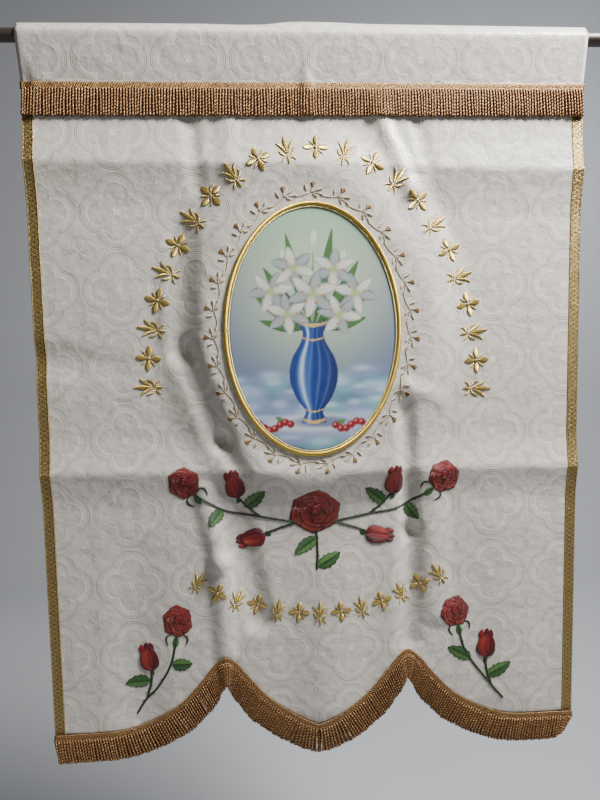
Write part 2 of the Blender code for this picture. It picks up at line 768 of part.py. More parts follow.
def make_band(collection, material, front_y):
    """The padded gold band round the picture: a ring with a flat back and a crowned face."""
    tube_radius = 0.5
    bpy.ops.mesh.primitive_torus_add(
        major_segments=BAND_STEPS, minor_segments=BAND_SIDES, major_radius=1.0, minor_radius=tube_radius
    )
    band = bpy.context.object
    band.name = "oval_band"
    half_width = BAND_WIDTH / 2
    for vertex in band.data.vertices:
        turn = math.atan2(vertex.co.y, vertex.co.x)
        across = (math.hypot(vertex.co.x, vertex.co.y) - 1.0) / tube_radius
        up = max(0.0, vertex.co.z / tube_radius)
        x = (BAND_HALF_X - half_width * (1 - across)) * math.cos(turn)
        z = OVAL_CENTRE_Z + (BAND_HALF_Z - half_width * (1 - across)) * math.sin(turn)
        vertex.co = (x, front_y(x, z) - TRIM_STANDOFF - BAND_CROWN * up, z)
    band.data.shade_smooth()
    band.data.materials.append(material)
    for used in list(band.users_collection):
        used.objects.unlink(band)
    collection.objects.link(band)
    return band


def clear_scene():
    """Removes whatever the scene holds."""
    for old in list(bpy.data.objects):
        bpy.data.objects.remove(old)


def main():
    """Builds the banner."""
    clear_scene()
    banner = bpy.data.collections.new("Church banner")
    helpers = bpy.data.collections.new("Helpers")
    bpy.context.scene.collection.children.link(banner)
    bpy.context.scene.collection.children.link(helpers)
    make_rod(banner, make_material("rod wood", ROD_BROWN))
    make_cloth(banner, make_material("damask", DAMASK_WHITE))
    front_y = front_surface()
    fringe_gold = make_material("fringe gold", FRINGE_GOLD)
    make_top_fringe(banner, fringe_gold, front_y)
    make_hem_fringe(banner, fringe_gold, front_y)
    make_braids(banner, helpers, make_material("braid gold", BRAID_GOLD))
    make_picture(banner, helpers, make_material("picture", PICTURE_BLUE))
    make_band(banner, make_material("band gold", BAND_GOLD), front_y)
    make_roses(banner, helpers, make_material("rose silk", ROSE_RED))


main()
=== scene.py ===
"""The looks of a white damask church banner that hangs on its rod.

The cloth, its fringes, braids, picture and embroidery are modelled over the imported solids. Lengths are
metres, X runs along the rod, +Z is up and the front of the banner faces -Y.
"""

import math
from itertools import pairwise

import bmesh
import bpy
import numpy as np
from bpy.props import FloatProperty, FloatVectorProperty, IntProperty, PointerProperty
from bpy.types import Operator, Panel, PropertyGroup
from mathutils import Matrix, Vector


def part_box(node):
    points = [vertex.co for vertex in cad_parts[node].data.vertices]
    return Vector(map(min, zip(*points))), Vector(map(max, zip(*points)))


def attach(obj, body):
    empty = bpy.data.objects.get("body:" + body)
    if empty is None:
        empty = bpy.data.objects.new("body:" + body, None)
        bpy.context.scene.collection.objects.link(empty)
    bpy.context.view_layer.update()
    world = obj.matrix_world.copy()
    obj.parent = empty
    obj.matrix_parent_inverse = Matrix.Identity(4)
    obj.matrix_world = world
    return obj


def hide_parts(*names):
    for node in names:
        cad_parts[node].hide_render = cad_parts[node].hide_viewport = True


bl_info = {
    "name": "Church banner looks",
    "version": (1, 0, 0),
    "blender": (4, 5, 0),
    "location": "3D View > Sidebar > Banner",
    "description": "Models the cloth, trim and embroidery of a church banner over its solids",
    "category": "Object",
}

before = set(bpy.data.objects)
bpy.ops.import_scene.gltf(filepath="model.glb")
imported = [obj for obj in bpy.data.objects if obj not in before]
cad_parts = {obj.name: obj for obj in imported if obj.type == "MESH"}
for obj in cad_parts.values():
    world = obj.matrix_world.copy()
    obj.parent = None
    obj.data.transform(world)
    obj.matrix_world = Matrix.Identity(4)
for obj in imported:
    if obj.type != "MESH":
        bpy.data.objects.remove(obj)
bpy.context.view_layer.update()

# The cloth on its rod, in the sizes of the solids
ROD_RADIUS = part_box("rod")[1].z
CLOTH_WIDTH = 0.88
CLOTH_THICKNESS = 0.0016
HALF_WIDTH = CLOTH_WIDTH / 2
SEWN_GAP = 0.0003
BESIDE = 0.003
TRIM_STANDOFF = 0.0008
SEAM_Z = -0.069
HEM_TAIL = 0.012
SLEEVE_FLARE = 0.001
SLEEVE_RADIUS = ROD_RADIUS + SEWN_GAP + CLOTH_THICKNESS / 2
CREASE_HALF_WIDTH = 0.0010
EMBROIDERY_THICKNESS = 0.0004
WREATH_THICKNESS = 0.0003
WELD = 0.000002

# The damask's lines round each lobe of a quatrefoil: distance from the lobe's middle, half width, and how much
# they count in the pattern
LOBE_FROM_MIDDLE = 0.0245
LOBE_LINES = ((0.0327, 0.0014, -0.95), (0.0300, 0.0013, -0.75), (0.0272, 0.0009, -0.30))

# The damask's other figures. A line has a radius and a half width, a spot a radius and a soft rim
SCALLOP_LINE = (0.0212, 0.0018)
SCALLOPS = 14.0
SCALLOP_DEPTH = 0.0006
DISC_SPOT = (0.0190, 0.0008)
BLOSSOM_SPOT = (0.0120, 0.0016)
BLOSSOM_PETALS = 6.0
BLOSSOM_DEPTH = 0.0035
HEART_LINE = (0.0085, 0.0012)
HEART_SPOT = (0.0040, 0.0010)
OUTSIDE_FROM = 0.0338
OUTSIDE_TO = 0.0350

# Between the quatrefoils: the arms of a flower, and blocks of dots
ARM_MIDDLE = 0.0105
ARM_HALF_LENGTH = 0.0100
ARM_HALF_WIDTH = 0.0052
BLOCK_AT = (0.0215, 0.0075)
BLOCK_LONG_SPOT = (0.0034, 0.0004)
BLOCK_SHORT_SPOT = (0.0026, 0.0004)
DOT_PITCH = 0.0026

# The pressed crease along the sleeve's top: x along the rod, and the angle at which the cloth leaves the rod
SLEEVE_CREASE = (
    (-0.44, 37.5),
    (-0.30, 36.0),
    (-0.16, 36.0),
    (-0.08, 38.0),
    (-0.03, 29.0),
    (0.03, 28.5),
    (0.09, 31.5),
    (0.22, 33.5),
    (0.44, 37.0),
)

# The upper line of the hem's fringe: x from the middle, and height above the lowest point of the cloth's middle
HEM_LOW_Z = -1.114
HEM_LINE = (
    (0.000, 0.0000),
    (0.032, 0.0145),
    (0.084, 0.0510),
    (0.116, 0.0880),
    (0.137, 0.1135),
    (0.153, 0.1240),
    (0.174, 0.1095),
    (0.197, 0.0810),
    (0.238, 0.0405),
    (0.304, 0.0085),
    (0.361, 0.0015),
    (0.440, 0.0010),
)
CUSP_X = 0.153
SCALLOP_TOP_Z = -0.93
HEM_EDGE_BELOW = 0.0045

# The stiff oval pushes the cloth round it forward, and the cloth falls back beyond the wreath
OVAL_CENTRE_Z = -0.453
BULGE_PROUD = 0.017
BULGE_HALF_X = 0.165
BULGE_HALF_Z = 0.215
BULGE_FALL = 0.58
BULGE_FALL_RIGHT = 0.46
BULGE_SHIFT_RIGHT = 0.020

# Storage creases, each a ridge across the cloth: height at the middle, slope along x, reach, how proud
STORAGE_CREASES = (
    (-0.1945, -0.0202, 0.075, 0.0090),
    (-0.6795, -0.0094, 0.060, 0.0080),
)
CREASE_SHARPNESS = 1.6
CREASE_FADE_AT_OVAL = 4

# Folds: upper end (x, z), lower end (x, z), half width, and how proud the upper and lower ends are
FOLDS = (
    (-0.200, -0.300, -0.205, -0.480, 0.034, -0.004, -0.007),
    (-0.205, -0.480, -0.150, -0.625, 0.030, -0.007, -0.009),
    (-0.150, -0.625, -0.112, -0.690, 0.022, -0.008, -0.003),
    (-0.184, -0.705, -0.158, -0.830, 0.024, 0.004, 0.008),
    (-0.158, -0.830, -0.152, -0.985, 0.026, 0.008, 0.005),
    (-0.126, -0.760, -0.098, -0.930, 0.034, -0.005, -0.008),
    (0.148, -0.585, 0.160, -0.790, 0.022, -0.007, -0.009),
    (0.160, -0.790, 0.156, -0.975, 0.028, -0.009, -0.006),
    (0.196, -0.700, 0.205, -0.930, 0.034, 0.003, 0.005),
    (0.030, -0.860, 0.020, -1.080, 0.075, 0.003, 0.007),
    (-0.188, -0.110, -0.176, -0.225, 0.020, -0.004, -0.003),
    (-0.130, -0.110, -0.125, -0.210, 0.024, 0.003, 0.002),
    (0.108, -0.110, 0.160, -0.235, 0.020, 0.005, 0.005),
    (0.160, -0.235, 0.215, -0.340, 0.034, 0.005, 0.002),
    (0.166, -0.110, 0.190, -0.200, 0.018, -0.003, -0.002),
    (-0.440, -0.490, -0.320, -0.505, 0.038, -0.005, -0.002),
    (0.150, -0.545, 0.210, -0.570, 0.022, 0.004, 0.002),
    (-0.300, -0.820, -0.300, -1.080, 0.060, -0.002, -0.005),
    (0.330, -0.780, 0.340, -1.080, 0.070, 0.002, 0.004),
    (-0.006, -0.012, -0.002, -0.075, 0.012, 0.001, 0.003),
    (-0.440, -0.030, -0.432, -0.085, 0.018, -0.002, -0.003),
)
FOLD_START_Z = -0.012
FOLD_START_REACH = 0.030
LEVEL_SLOPES = ((-0.93, 0.0), (-0.6795, -0.0094), (-0.1945, -0.0202), (-0.116, 0.0))

# Fringe: a woven heading with hanging strands
HEADING_HEIGHT = 0.009
VISIBLE_FOOT = 1.2
HEADING_CELLS = (220, 12)
HEADING_LOOP = 0.0026
FRINGE_HEIGHT = 0.050
FRINGE_THICKNESS = 0.0024
TOP_TIP_SPREAD = 0.003
TIP_UNEVEN = 0.0012
HEM_FINE_STEPS = 4000
CUSP_PULL = 0.021
CUSP_REACH = 0.032
CUSP_FEET_REACH = 0.012
FOOT_LEAN = 0.7
FOOT_LEAST_DROP = 0.75
LEVEL_PULL_SHARE = 0.25
SLOPE_PULL = 1.4
MIDDLE_LOBE_EASE = 0.04
FRAYED_REACH = 0.030
FRAYED_INWARD = 0.010
FRAYED_SHORTER = 0.32
TOP_ROW_HALF = HALF_WIDTH - 0.002
BUNCH_PITCHES = (0.041, 0.017)
HEM_STRAND_WIDER = 1.3
ROW_SHIFT = 0.37

# Rows of strands, behind and in front: row, distance off the cloth, brightness (painted shadow that darkens the
# row behind), and share of a strand's width
STRAND_ROWS = ((0, 0.0009, 0.38, 2.1), (1, 0.0022, 1.0, 1.0))

# Braids down both sides
BRAID_WIDTH = 0.0175
BRAID_THICKNESS = 0.0011
BRAID_TOP_Z = SEAM_Z - 0.002
BRAID_RISE_START = 0.014
BRAID_RISE_RUN = 0.010
BRAID_CELLS = 16
BRAID_PLY = 0.0016

# The oval picture and its band
BAND_HALF_X = 0.142
BAND_HALF_Z = 0.2015
BAND_WIDTH = 0.0105
BAND_CROWN = 0.0028
PADDING_WIDTH = 0.0080
PIPING_OUTSET = 0.0078
PIPING_WIDTH = 0.0028
PIPING_CROWN = 0.0022
BAND_STEPS = 200
PICTURE_THICKNESS = 0.0009

# The printed vase: height from the oval's middle, and half width
VASE_PROFILE = (
    (-0.147, 0.019),
    (-0.138, 0.017),
    (-0.128, 0.014),
    (-0.105, 0.029),
    (-0.075, 0.0385),
    (-0.045, 0.0345),
    (-0.018, 0.0200),
    (-0.004, 0.0165),
    (0.010, 0.0220),
    (0.014, 0.0235),
)

# The printed bunch: leaves (lean, reach, half width), buds (place, lean) and lilies (place, size, lean)
BUNCH_LEAVES = (
    (-62, 0.105, 0.0085),
    (-40, 0.120, 0.0090),
    (-16, 0.150, 0.0085),
    (12, 0.155, 0.0080),
    (36, 0.125, 0.0090),
    (60, 0.108, 0.0085),
    (-84, 0.085, 0.0080),
    (82, 0.086, 0.0080),
)
BUNCH_BUDS = (((-0.048, 0.128), -18), ((0.052, 0.126), 22), ((0.004, 0.158), 4))
BUNCH_LILIES = (
    ((-0.066, 0.062), 0.036, 20),
    ((0.068, 0.058), 0.036, -15),
    ((-0.030, 0.098), 0.037, 48),
    ((0.034, 0.096), 0.036, 5),
    ((-0.040, 0.026), 0.036, -8),
    ((0.042, 0.024), 0.036, 40),
    ((0.0, 0.058), 0.041, 12),
)

# The print's colours: a lily's back and front petals, light and dark, and two clouds' shadow and lit puff
LILY_RINGS = (((0.46, 0.50, 0.48), (0.10, 0.15, 0.19)), ((0.84, 0.83, 0.72), (0.24, 0.28, 0.30)))
CLOUD_BLUES = ((0.06, 0.11, 0.25), (0.34, 0.44, 0.66))
CLOUD_GREENS = ((0.05, 0.19, 0.27), (0.26, 0.55, 0.60))

# Rose sprays. The middle spray's right half is turned over to the left, and its rose in the middle is its own
STEM_HALF_WIDTH = 0.0019
MIDDLE_SPRAY = {
    # Roses: middle x, z, half width, half height
    "roses": ((0.213, -0.695, 0.0250, 0.0255),),
    # Buds and leaves: base x, z, tip x, z, half width
    "buds": ((0.128, -0.722, 0.135, -0.674, 0.0162), (0.083, -0.787, 0.131, -0.796, 0.0158)),
    "leaves": ((0.116, -0.738, 0.082, -0.710, 0.0105), (0.152, -0.741, 0.173, -0.768, 0.0100)),
    # Stems: the points that each passes through
    "stems": (
        ((0.030, -0.766), (0.088, -0.755), (0.146, -0.744), (0.198, -0.712)),
        ((0.089, -0.755), (0.110, -0.739), (0.129, -0.718)),
        ((0.030, -0.766), (0.060, -0.775), (0.090, -0.786)),
    ),
}
MIDDLE_OWN = {
    "roses": ((0.000, -0.748, 0.0410, 0.0345),),
    "buds": (),
    "leaves": ((0.002, -0.793, -0.035, -0.821, 0.0105), (0.003, -0.841, 0.0405, -0.818, 0.0110)),
    "stems": (((0.001, -0.778), (0.003, -0.815), (0.001, -0.847)),),
}
SIDE_SPRAY = {
    "roses": ((0.233, -0.928, 0.0240, 0.0255),),
    "buds": ((0.286, -1.011, 0.291, -0.962, 0.0162),),
    "leaves": ((0.262, -1.013, 0.222, -0.991, 0.0105), (0.290, -1.043, 0.330, -1.019, 0.0105)),
    "stems": (
        ((0.240, -0.950), (0.254, -1.001), (0.295, -1.057), (0.318, -1.084)),
        ((0.286, -1.007), (0.290, -1.035), (0.298, -1.060)),
    ),
}
LEFT_SPRAY = {
    "roses": ((-0.2315, -0.9272, 0.0235, 0.0265),),
    "buds": ((-0.2785, -1.0115, -0.2840, -0.9632, 0.0160),),
    "leaves": ((-0.2425, -1.0007, -0.2090, -1.0005, 0.0105), (-0.2800, -1.0290, -0.3212, -1.0325, 0.0105)),
    "stems": (
        ((-0.2330, -0.9500), (-0.2444, -1.0006), (-0.2672, -1.0394), (-0.2878, -1.0610), (-0.3045, -1.0864)),
        ((-0.2775, -1.0100), (-0.2785, -1.0312), (-0.2870, -1.0611)),
    ),
}

# How far a rose is turned for each metre from the banner's middle
ROSE_LEAN = 4.8 / CLOTH_WIDTH

# Rings of a rose from the outside in: petals, reach as a share of the rose, brightness and turn
ROSE_RINGS = (
    (6, 1.00, 1.00, 0.10),
    (5, 0.83, 0.92, 0.45),
    (5, 0.67, 0.80, 0.05),
    (4, 0.52, 0.70, 0.60),
    (3, 0.38, 0.60, 0.20),
)

# A bud's half width along its length, and its petals behind and before that body: start, control, end, half
# width, tone and lift
BUD_PROFILE = ((0.0, 0.0), (0.06, 0.55), (0.16, 0.86), (0.36, 1.0), (0.60, 0.86), (0.82, 0.56), (1.0, 0.36))
BUD_BACK_PETALS = (
    ((0.10, 0.55), (0.50, 0.75), (0.30, 1.00), 0.30, "deep", 0.0006),
    ((0.00, 0.55), (-0.10, 0.80), (-0.05, 1.03), 0.32, "deep", 0.0007),
    ((-0.15, 0.60), (-0.85, 0.72), (-0.52, 0.97), 0.32, "bright", 0.0008),
)
BUD_FRONT_PETALS = (
    ((0.15, 0.01), (1.05, 0.35), (0.20, 0.86), 0.34, "deep", 0.0016),
    ((0.05, 0.00), (-0.95, 0.30), (-0.20, 0.80), 0.46, "edge", 0.0018),
)

# Ornament that runs round the oval: the middle of its ellipse, its half sizes and its ends as angles
ARCH_CENTRE = (0.003, -0.538)
ARCH_HALF_X = 0.267
ARCH_HALF_Z = 0.369
ARCH_FROM = 180.0
ARCH_TO = -2.0
LOWER_ARC_CENTRE = (0.004, -0.556)
LOWER_ARC_RADIUS = 0.365
LOWER_ARC_FROM = -123.0
LOWER_ARC_TO = -56.5
FLORET_SIZE = 0.86

# The leaf wreath: half sizes of the line of its sprigs
VINE_HALF_X = 0.1565
VINE_HALF_Z = 0.2145

# One sprig of the wreath: start, control and end of each line, forward along the wreath and outward
WREATH_VINES = (
    ((-0.027, -0.007), (-0.012, -0.0065), (0.0, 0.0)),
    ((0.0, 0.0), (0.004, 0.0025), (0.0095, 0.0020)),
    ((0.0005, 0.0005), (0.0010, 0.0040), (0.0025, 0.0065)),
    ((0.0, 0.0), (0.006, -0.0010), (0.013, -0.0028)),
)
WREATH_LEAVES = (
    ((-0.0065, 0.0010), (-0.0085, 0.0060), (-0.0090, 0.0115)),
    ((0.0085, 0.0020), (0.0140, 0.0045), (0.0190, 0.0045)),
    ((0.0030, -0.0020), (0.0060, -0.0060), (0.0105, -0.0085)),
    ((0.0130, -0.0028), (0.0170, -0.0040), (0.0220, -0.0080)),
)

# Where the camera stood: its place, the way it looks and its upward direction, and focal length in pixels
CAMERA_PLACE = (-0.0694, -0.9599, -0.4870)
CAMERA_RIGHT = (0.9985, -0.0510, -0.0181)
CAMERA_UP = (0.0221, 0.0788, 0.9966)
CAMERA_FORWARD = (0.0494, 0.9956, -0.0799)
FOCAL_PIXELS = 592.8
PHOTO_HEIGHT = 800
SENSOR_MM = 36.0


def eased(share):
    """A share from 0 to 1 that starts and ends level."""
    share = min(1.0, max(0.0, share))
    return share * share * (3 - 2 * share)


def read_line(rows, at):
    """The value of a table of (place, value) rows at a place, straight between the rows."""
    for (start, low), (end, high) in pairwise(rows):
        if at <= end:
            share = min(1.0, max(0.0, (at - start) / (end - start)))
            return low + (high - low) * share
    return rows[-1][1]


def read_curve(rows, at):
    """The value of a table of (place, value) rows at a place, on a smooth curve through the rows."""
    last = len(rows) - 1
    step = next((n for n in range(last) if at <= rows[n + 1][0]), last - 1)
    (start, low), (end, high) = rows[step], rows[step + 1]

    def slope(row):
        before, after = rows[max(0, row - 1)], rows[min(last, row + 1)]
        return (after[1] - before[1]) / (after[0] - before[0])

    run = end - start
    share = min(1.0, max(0.0, (at - start) / run))
    square, cube = share**2, share**3
    return (
        (2 * cube - 3 * square + 1) * low
        + (cube - 2 * square + share) * run * slope(step)
        + (3 * square - 2 * cube) * high
        + (cube - square) * run * slope(step + 1)
    )


def uneven(number):
    """A small unevenness between -1 and 1 that differs from one number to the next."""
    return 0.6 * math.sin(2.1 * number + 0.7) + 0.4 * math.sin(5.3 * number)


def hem_line(x):
    """Height of the upper line of the hem's fringe."""
    return HEM_LOW_Z + read_curve(HEM_LINE, abs(x))


def hem_outward(x):
    """Direction in the banner's plane that points square out of the hem line, as (x, z)."""
    run = 2 * BESIDE
    rise = hem_line(x + run / 2) - hem_line(x - run / 2)
    length = math.hypot(rise, run)
    return rise / length, -run / length


def hem_edge(x):
    """Height of the cloth's cut edge, under the fringe's heading."""
    return hem_line(x) - HEM_EDGE_BELOW


def one_fold(fold, x, z):
    """How far one fold lifts the cloth forward at a place."""
    x_upper, z_upper, x_lower, z_lower, half_width, proud_upper, proud_lower = fold
    run_x, run_z = x_lower - x_upper, z_lower - z_upper
    share = ((x - x_upper) * run_x + (z - z_upper) * run_z) / (run_x**2 + run_z**2)
    share = min(1.0, max(0.0, share))
    apart = math.hypot(x - x_upper - share * run_x, z - z_upper - share * run_z) / half_width
    if apart >= 1:
        return 0.0
    return (proud_upper + (proud_lower - proud_upper) * share) * (1 - apart**2) ** 2


def oval_bulge(x, z):
    """How far the stiff oval holds the cloth forward."""
    half_x = BULGE_HALF_X + (BULGE_SHIFT_RIGHT if x > 0 else 0.0)
    out = math.hypot(x / half_x, (z - OVAL_CENTRE_Z) / BULGE_HALF_Z)
    fall = BULGE_FALL + (BULGE_FALL_RIGHT - BULGE_FALL) * eased(x / BULGE_HALF_X)
    return BULGE_PROUD * (1 - eased((out - 1) / fall))


def storage_crease(crease, x, z):
    """How proud the cloth is beside a crease that it was folded on in store."""
    middle_z, slope, reach, ridge = crease
    apart = abs(z - middle_z - slope * x) / reach
    beyond_band = math.hypot(x / BAND_HALF_X, (z - OVAL_CENTRE_Z) / BAND_HALF_Z) - 1
    return ridge * max(0.0, 1 - apart) ** CREASE_SHARPNESS * eased(beyond_band * CREASE_FADE_AT_OVAL)


def proud(x, z):
    """How far the cloth stands forward of the plane under the rod."""
    forward = oval_bulge(x, z)
    forward += sum(one_fold(fold, x, z) for fold in FOLDS)
    forward += sum(storage_crease(crease, x, z) for crease in STORAGE_CREASES)
    return forward * eased((FOLD_START_Z - z) / FOLD_START_REACH)


def on_cloth(x, z, lift=0.0):
    """The point of the cloth's front at a place, lifted off it."""
    return Vector((x, -proud(x, z) - CLOTH_THICKNESS / 2 - lift, z))


def front_y(x, z):
    """The most forward y of the cloth's front close to a place."""
    x = min(HALF_WIDTH, max(-HALF_WIDTH, x))
    z = max(min(z, SEAM_Z), hem_edge(x))
    places = ((x - BESIDE, z), (x, z), (x + BESIDE, z), (x, z - BESIDE), (x, z + BESIDE))
    return min(on_cloth(*place).y for place in places)


def over_braid(x):
    """How far a fringe's back stands off the cloth: close to it, and raised where it runs over a braid."""
    start = HALF_WIDTH - BRAID_WIDTH - BRAID_RISE_START
    raised = eased((abs(x) - start) / BRAID_RISE_RUN)
    return TRIM_STANDOFF + (BRAID_THICKNESS + SEWN_GAP) * raised


class Finish:
    """A material whose nodes are added and wired in one go."""

    def __init__(self, name, roughness=0.5, metallic=0.0, specular=0.5, sheen=0.0, sheen_roughness=0.5):
        self.material = bpy.data.materials.new(name)
        self.material.use_nodes = True
        self.tree = self.material.node_tree
        self.shader = self.tree.nodes["Principled BSDF"]
        self.shader.inputs["Roughness"].default_value = roughness
        self.shader.inputs["Metallic"].default_value = metallic
        self.shader.inputs["Specular IOR Level"].default_value = specular
        self.shader.inputs["Sheen Weight"].default_value = sheen
        self.shader.inputs["Sheen Roughness"].default_value = sheen_roughness

    def feed(self, socket, value):
        """Links a socket to another, or gives it a value."""
        if isinstance(value, bpy.types.NodeSocket):
            self.tree.links.new(value, socket)
        elif value is not None:
            socket.default_value = value

    def add(self, kind, *values, **settings):
        """Adds a node with its settings and inputs, and gives its first output."""
        node = self.tree.nodes.new(kind)
        for name, setting in settings.items():
            setattr(node, name, setting)
        for socket, value in zip(node.inputs, values):
            self.feed(socket, value)
        return node.outputs[0]

    def math(self, operation, *values):
        """The result of a sum on numbers or sockets."""
        return self.add("ShaderNodeMath", *values, operation=operation)

    def times(self, *values):
        """The product of two numbers or sockets."""
        return self.math("MULTIPLY", *values)

    def plus(self, *values):
        """The sum of two numbers or sockets."""
        return self.math("ADD", *values)

    def minus(self, *values):
        """The first number or socket less the second."""
        return self.math("SUBTRACT", *values)

    def scaled(self, value, factor, offset):
        """A value times a factor, plus an offset."""
        return self.math("MULTIPLY_ADD", value, factor, offset)

    def attribute(self, name, output="Vector"):
        """The piece's own attribute of that name."""
        node = self.tree.nodes.new("ShaderNodeAttribute")
        node.attribute_name = name
        return node.outputs[output]

    def object_place(self, stretch=(1.0, 1.0, 1.0)):
        """The place on the object, scaled along each axis."""
        coordinates = self.tree.nodes.new("ShaderNodeTexCoord")
        mapping = self.tree.nodes.new("ShaderNodeMapping")
        mapping.inputs["Scale"].default_value = stretch
        self.tree.links.new(coordinates.outputs["Object"], mapping.inputs["Vector"])
        return mapping.outputs[0]

    def split(self, vector):
        """The three parts of a vector."""
        node = self.tree.nodes.new("ShaderNodeSeparateXYZ")
        self.tree.links.new(vector, node.inputs[0])
        return node.outputs

    def noise(self, place, scale, detail=2.0):
        """Smooth noise from 0 to 1 at a place."""
        node = self.tree.nodes.new("ShaderNodeTexNoise")
        self.tree.links.new(place, node.inputs["Vector"])
        node.inputs["Scale"].default_value = scale
        node.inputs["Detail"].default_value = detail
        return node.outputs["Fac"]

    def between(self, value, low, high):
        """0 below low, 1 above high, and smooth between them."""
        node = self.tree.nodes.new("ShaderNodeMapRange")
        node.interpolation_type = "SMOOTHSTEP"
        self.feed(node.inputs["Value"], value)
        node.inputs["From Min"].default_value = low
        node.inputs["From Max"].default_value = high
        return node.outputs[0]

    def line(self, distance, radius, half_width):
        """1 on a line at that distance and 0 beside it."""
        apart = self.math("ABSOLUTE", self.minus(distance, radius))
        return self.minus(1.0, self.between(apart, 0.0, half_width))

    def wave(self, distance, pitch):
        """A wave from -1 to 1 that repeats at every pitch."""
        return self.math("SINE", self.times(distance, 2 * math.pi / pitch))

    def total(self, *parts):
        """The sum of parts, each a socket with its weight."""
        result = None
        for socket, weight in parts:
            part = self.times(socket, weight)
            result = part if result is None else self.plus(result, part)
        return result

    def blend(self, share, first, second):
        """The colour between two colours."""
        node = self.tree.nodes.new("ShaderNodeMix")
        node.data_type = "RGBA"
        self.feed(node.inputs["Factor"], share)
        self.feed(node.inputs[6], first if isinstance(first, bpy.types.NodeSocket) else (*first, 1.0))
        self.feed(node.inputs[7], second if isinstance(second, bpy.types.NodeSocket) else (*second, 1.0))
        return node.outputs[2]

    def colour(self, value):
        """Sets the base colour."""
        self.feed(self.shader.inputs["Base Color"], value)

    def roughness(self, value):
        """Sets the roughness from a socket."""
        self.feed(self.shader.inputs["Roughness"], value)

    def relief(self, height, depth, strength=1.0):
        """Raises the surface by a height from 0 to 1 times a depth."""
        bump = self.tree.nodes.new("ShaderNodeBump")
        bump.inputs["Strength"].default_value = strength
        bump.inputs["Distance"].default_value = depth
        self.feed(bump.inputs["Height"], height)
        self.tree.links.new(bump.outputs[0], self.shader.inputs["Normal"])


def shown(name, mesh, material, nodes=()):
    """A finished piece in the scene: it rides on the banner and stands for its solids."""
    piece = bpy.data.objects.new(name, mesh)
    bpy.context.scene.collection.objects.link(piece)
    mesh.materials.append(material)
    mesh.shade_smooth()
    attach(piece, "root")
    if nodes:
        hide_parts(*nodes)
    return piece


def thicken(piece, thickness, offset):
    """Gives a sheet its thickness. Offset 0 grows it both ways, and -1 grows it away from its normals."""
    solidify = piece.modifiers.new("Thickness", "SOLIDIFY")
    solidify.thickness = thickness
    solidify.offset = offset
    return piece


def finished_mesh(shape, name):
    """The mesh of a bmesh that is done."""
    mesh = bpy.data.meshes.new(name)
    shape.to_mesh(mesh)
    shape.free()
    return mesh


def sewing_shape():
    """A bmesh whose points carry a tint and their place in the thread."""
    shape = bmesh.new()
    tint = shape.verts.layers.float_color.new("tint")
    thread = shape.verts.layers.float_vector.new("thread")
    return shape, thread, tint


class Weaver:
    """Collects grids that follow the cloth, with a thread direction and a tint at each point, in one mesh."""

    def __init__(self):
        self.shape, self.thread, self.tint = sewing_shape()

    def grid(self, across, along, place):
        """Adds a grid. place(column, row) gives a point, its thread coordinates and its tint."""
        made = bmesh.ops.create_grid(self.shape, x_segments=across, y_segments=along, size=0.5)
        for vertex in made["verts"]:
            column = round((vertex.co.x + 0.5) * across)
            row = round((vertex.co.y + 0.5) * along)
            point, thread, tint = place(column, row)
            vertex.co = point
            vertex[self.thread] = thread
            vertex[self.tint] = (*tint, 1.0)

    def patch(self, spine, half_width, tint, lift=0.0005, crown=0.0008, along=8, across=4, lengthwise=False):
        """Sews a raised patch along a spine. spine and half_width take a share of its length."""
        small = 0.001
        length = sum(math.dist(spine(n / along), spine((n + 1) / along)) for n in range(along))

        def place(column, row):
            share = (1 - math.cos(math.pi * row / along)) / 2
            side = math.sin(math.pi / 2 * (2 * column / across - 1))
            x, z = spine(share)
            before, after = spine(max(0.0, share - small)), spine(min(1.0, share + small))
            run_x, run_z = after[0] - before[0], after[1] - before[1]
            scale = side * half_width(share) / max(1e-9, math.hypot(run_x, run_z))
            x, z = x + run_z * scale, z - run_x * scale
            rise = crown * math.sqrt(max(0.0, 1 - side**2)) * (4 * share * (1 - share)) ** 0.25
            across_threads, along_threads = share * length, side * half_width(share)
            if lengthwise:
                across_threads, along_threads = along_threads, across_threads
            return on_cloth(x, z, lift + rise), (across_threads, along_threads, 0.0), tint(share, side)

        self.grid(across, along, place)

    def mesh(self, name):
        """The finished mesh."""
        bmesh.ops.remove_doubles(self.shape, verts=self.shape.verts, dist=WELD)
        self.shape.normal_update()
        return finished_mesh(self.shape, name)


def bow(start, control, end):
    """A curve from start to end that leans towards a control point."""

    def spine(share):
        near = 1 - share
        return tuple(
            near * near * a + 2 * near * share * c + share * share * b
            for a, c, b in zip(start, control, end)
        )

    return spine


def straight(start, end):
    """A straight spine."""
    return bow(start, ((start[0] + end[0]) / 2, (start[1] + end[1]) / 2), end)


def leaf_width(half_width, roundness=1.0, belly=1.0):
    """A half width that swells from a point to a point. A belly over 1 moves the swell towards the base."""
    return lambda share: half_width * math.sin(math.pi * share ** (1 / belly)) ** roundness


def plain(colour):
    """A tint that is the same all over."""
    return lambda share, side: colour


def mixed(first, second, share):
    """The colour between two colours."""
    share = min(1.0, max(0.0, share))
    return tuple(a + (b - a) * share for a, b in zip(first, second))


# Cloth


def sleeve_side(row_z, side):
    """A row of the sleeve's front (side -1) or back (side 1), on the straight run from seam to rod."""
    touch_angle = math.asin(SLEEVE_RADIUS / -SEAM_Z)
    touch_y = SLEEVE_RADIUS * math.cos(touch_angle)
    touch_z = -SLEEVE_RADIUS * math.sin(touch_angle)
    share = min(1.0, max(0.0, (row_z - SEAM_Z) / (touch_z - SEAM_Z)))
    behind = (CLOTH_THICKNESS + SEWN_GAP) if side > 0 else 0.0

    def point(x):
        stretched = x * (1 + SLEEVE_FLARE / HALF_WIDTH * share)
        fold_y = -proud(x, row_z) * (1 - share)
        return Vector((stretched, side * touch_y * share + behind * (1 - share) + fold_y, row_z))

    return point


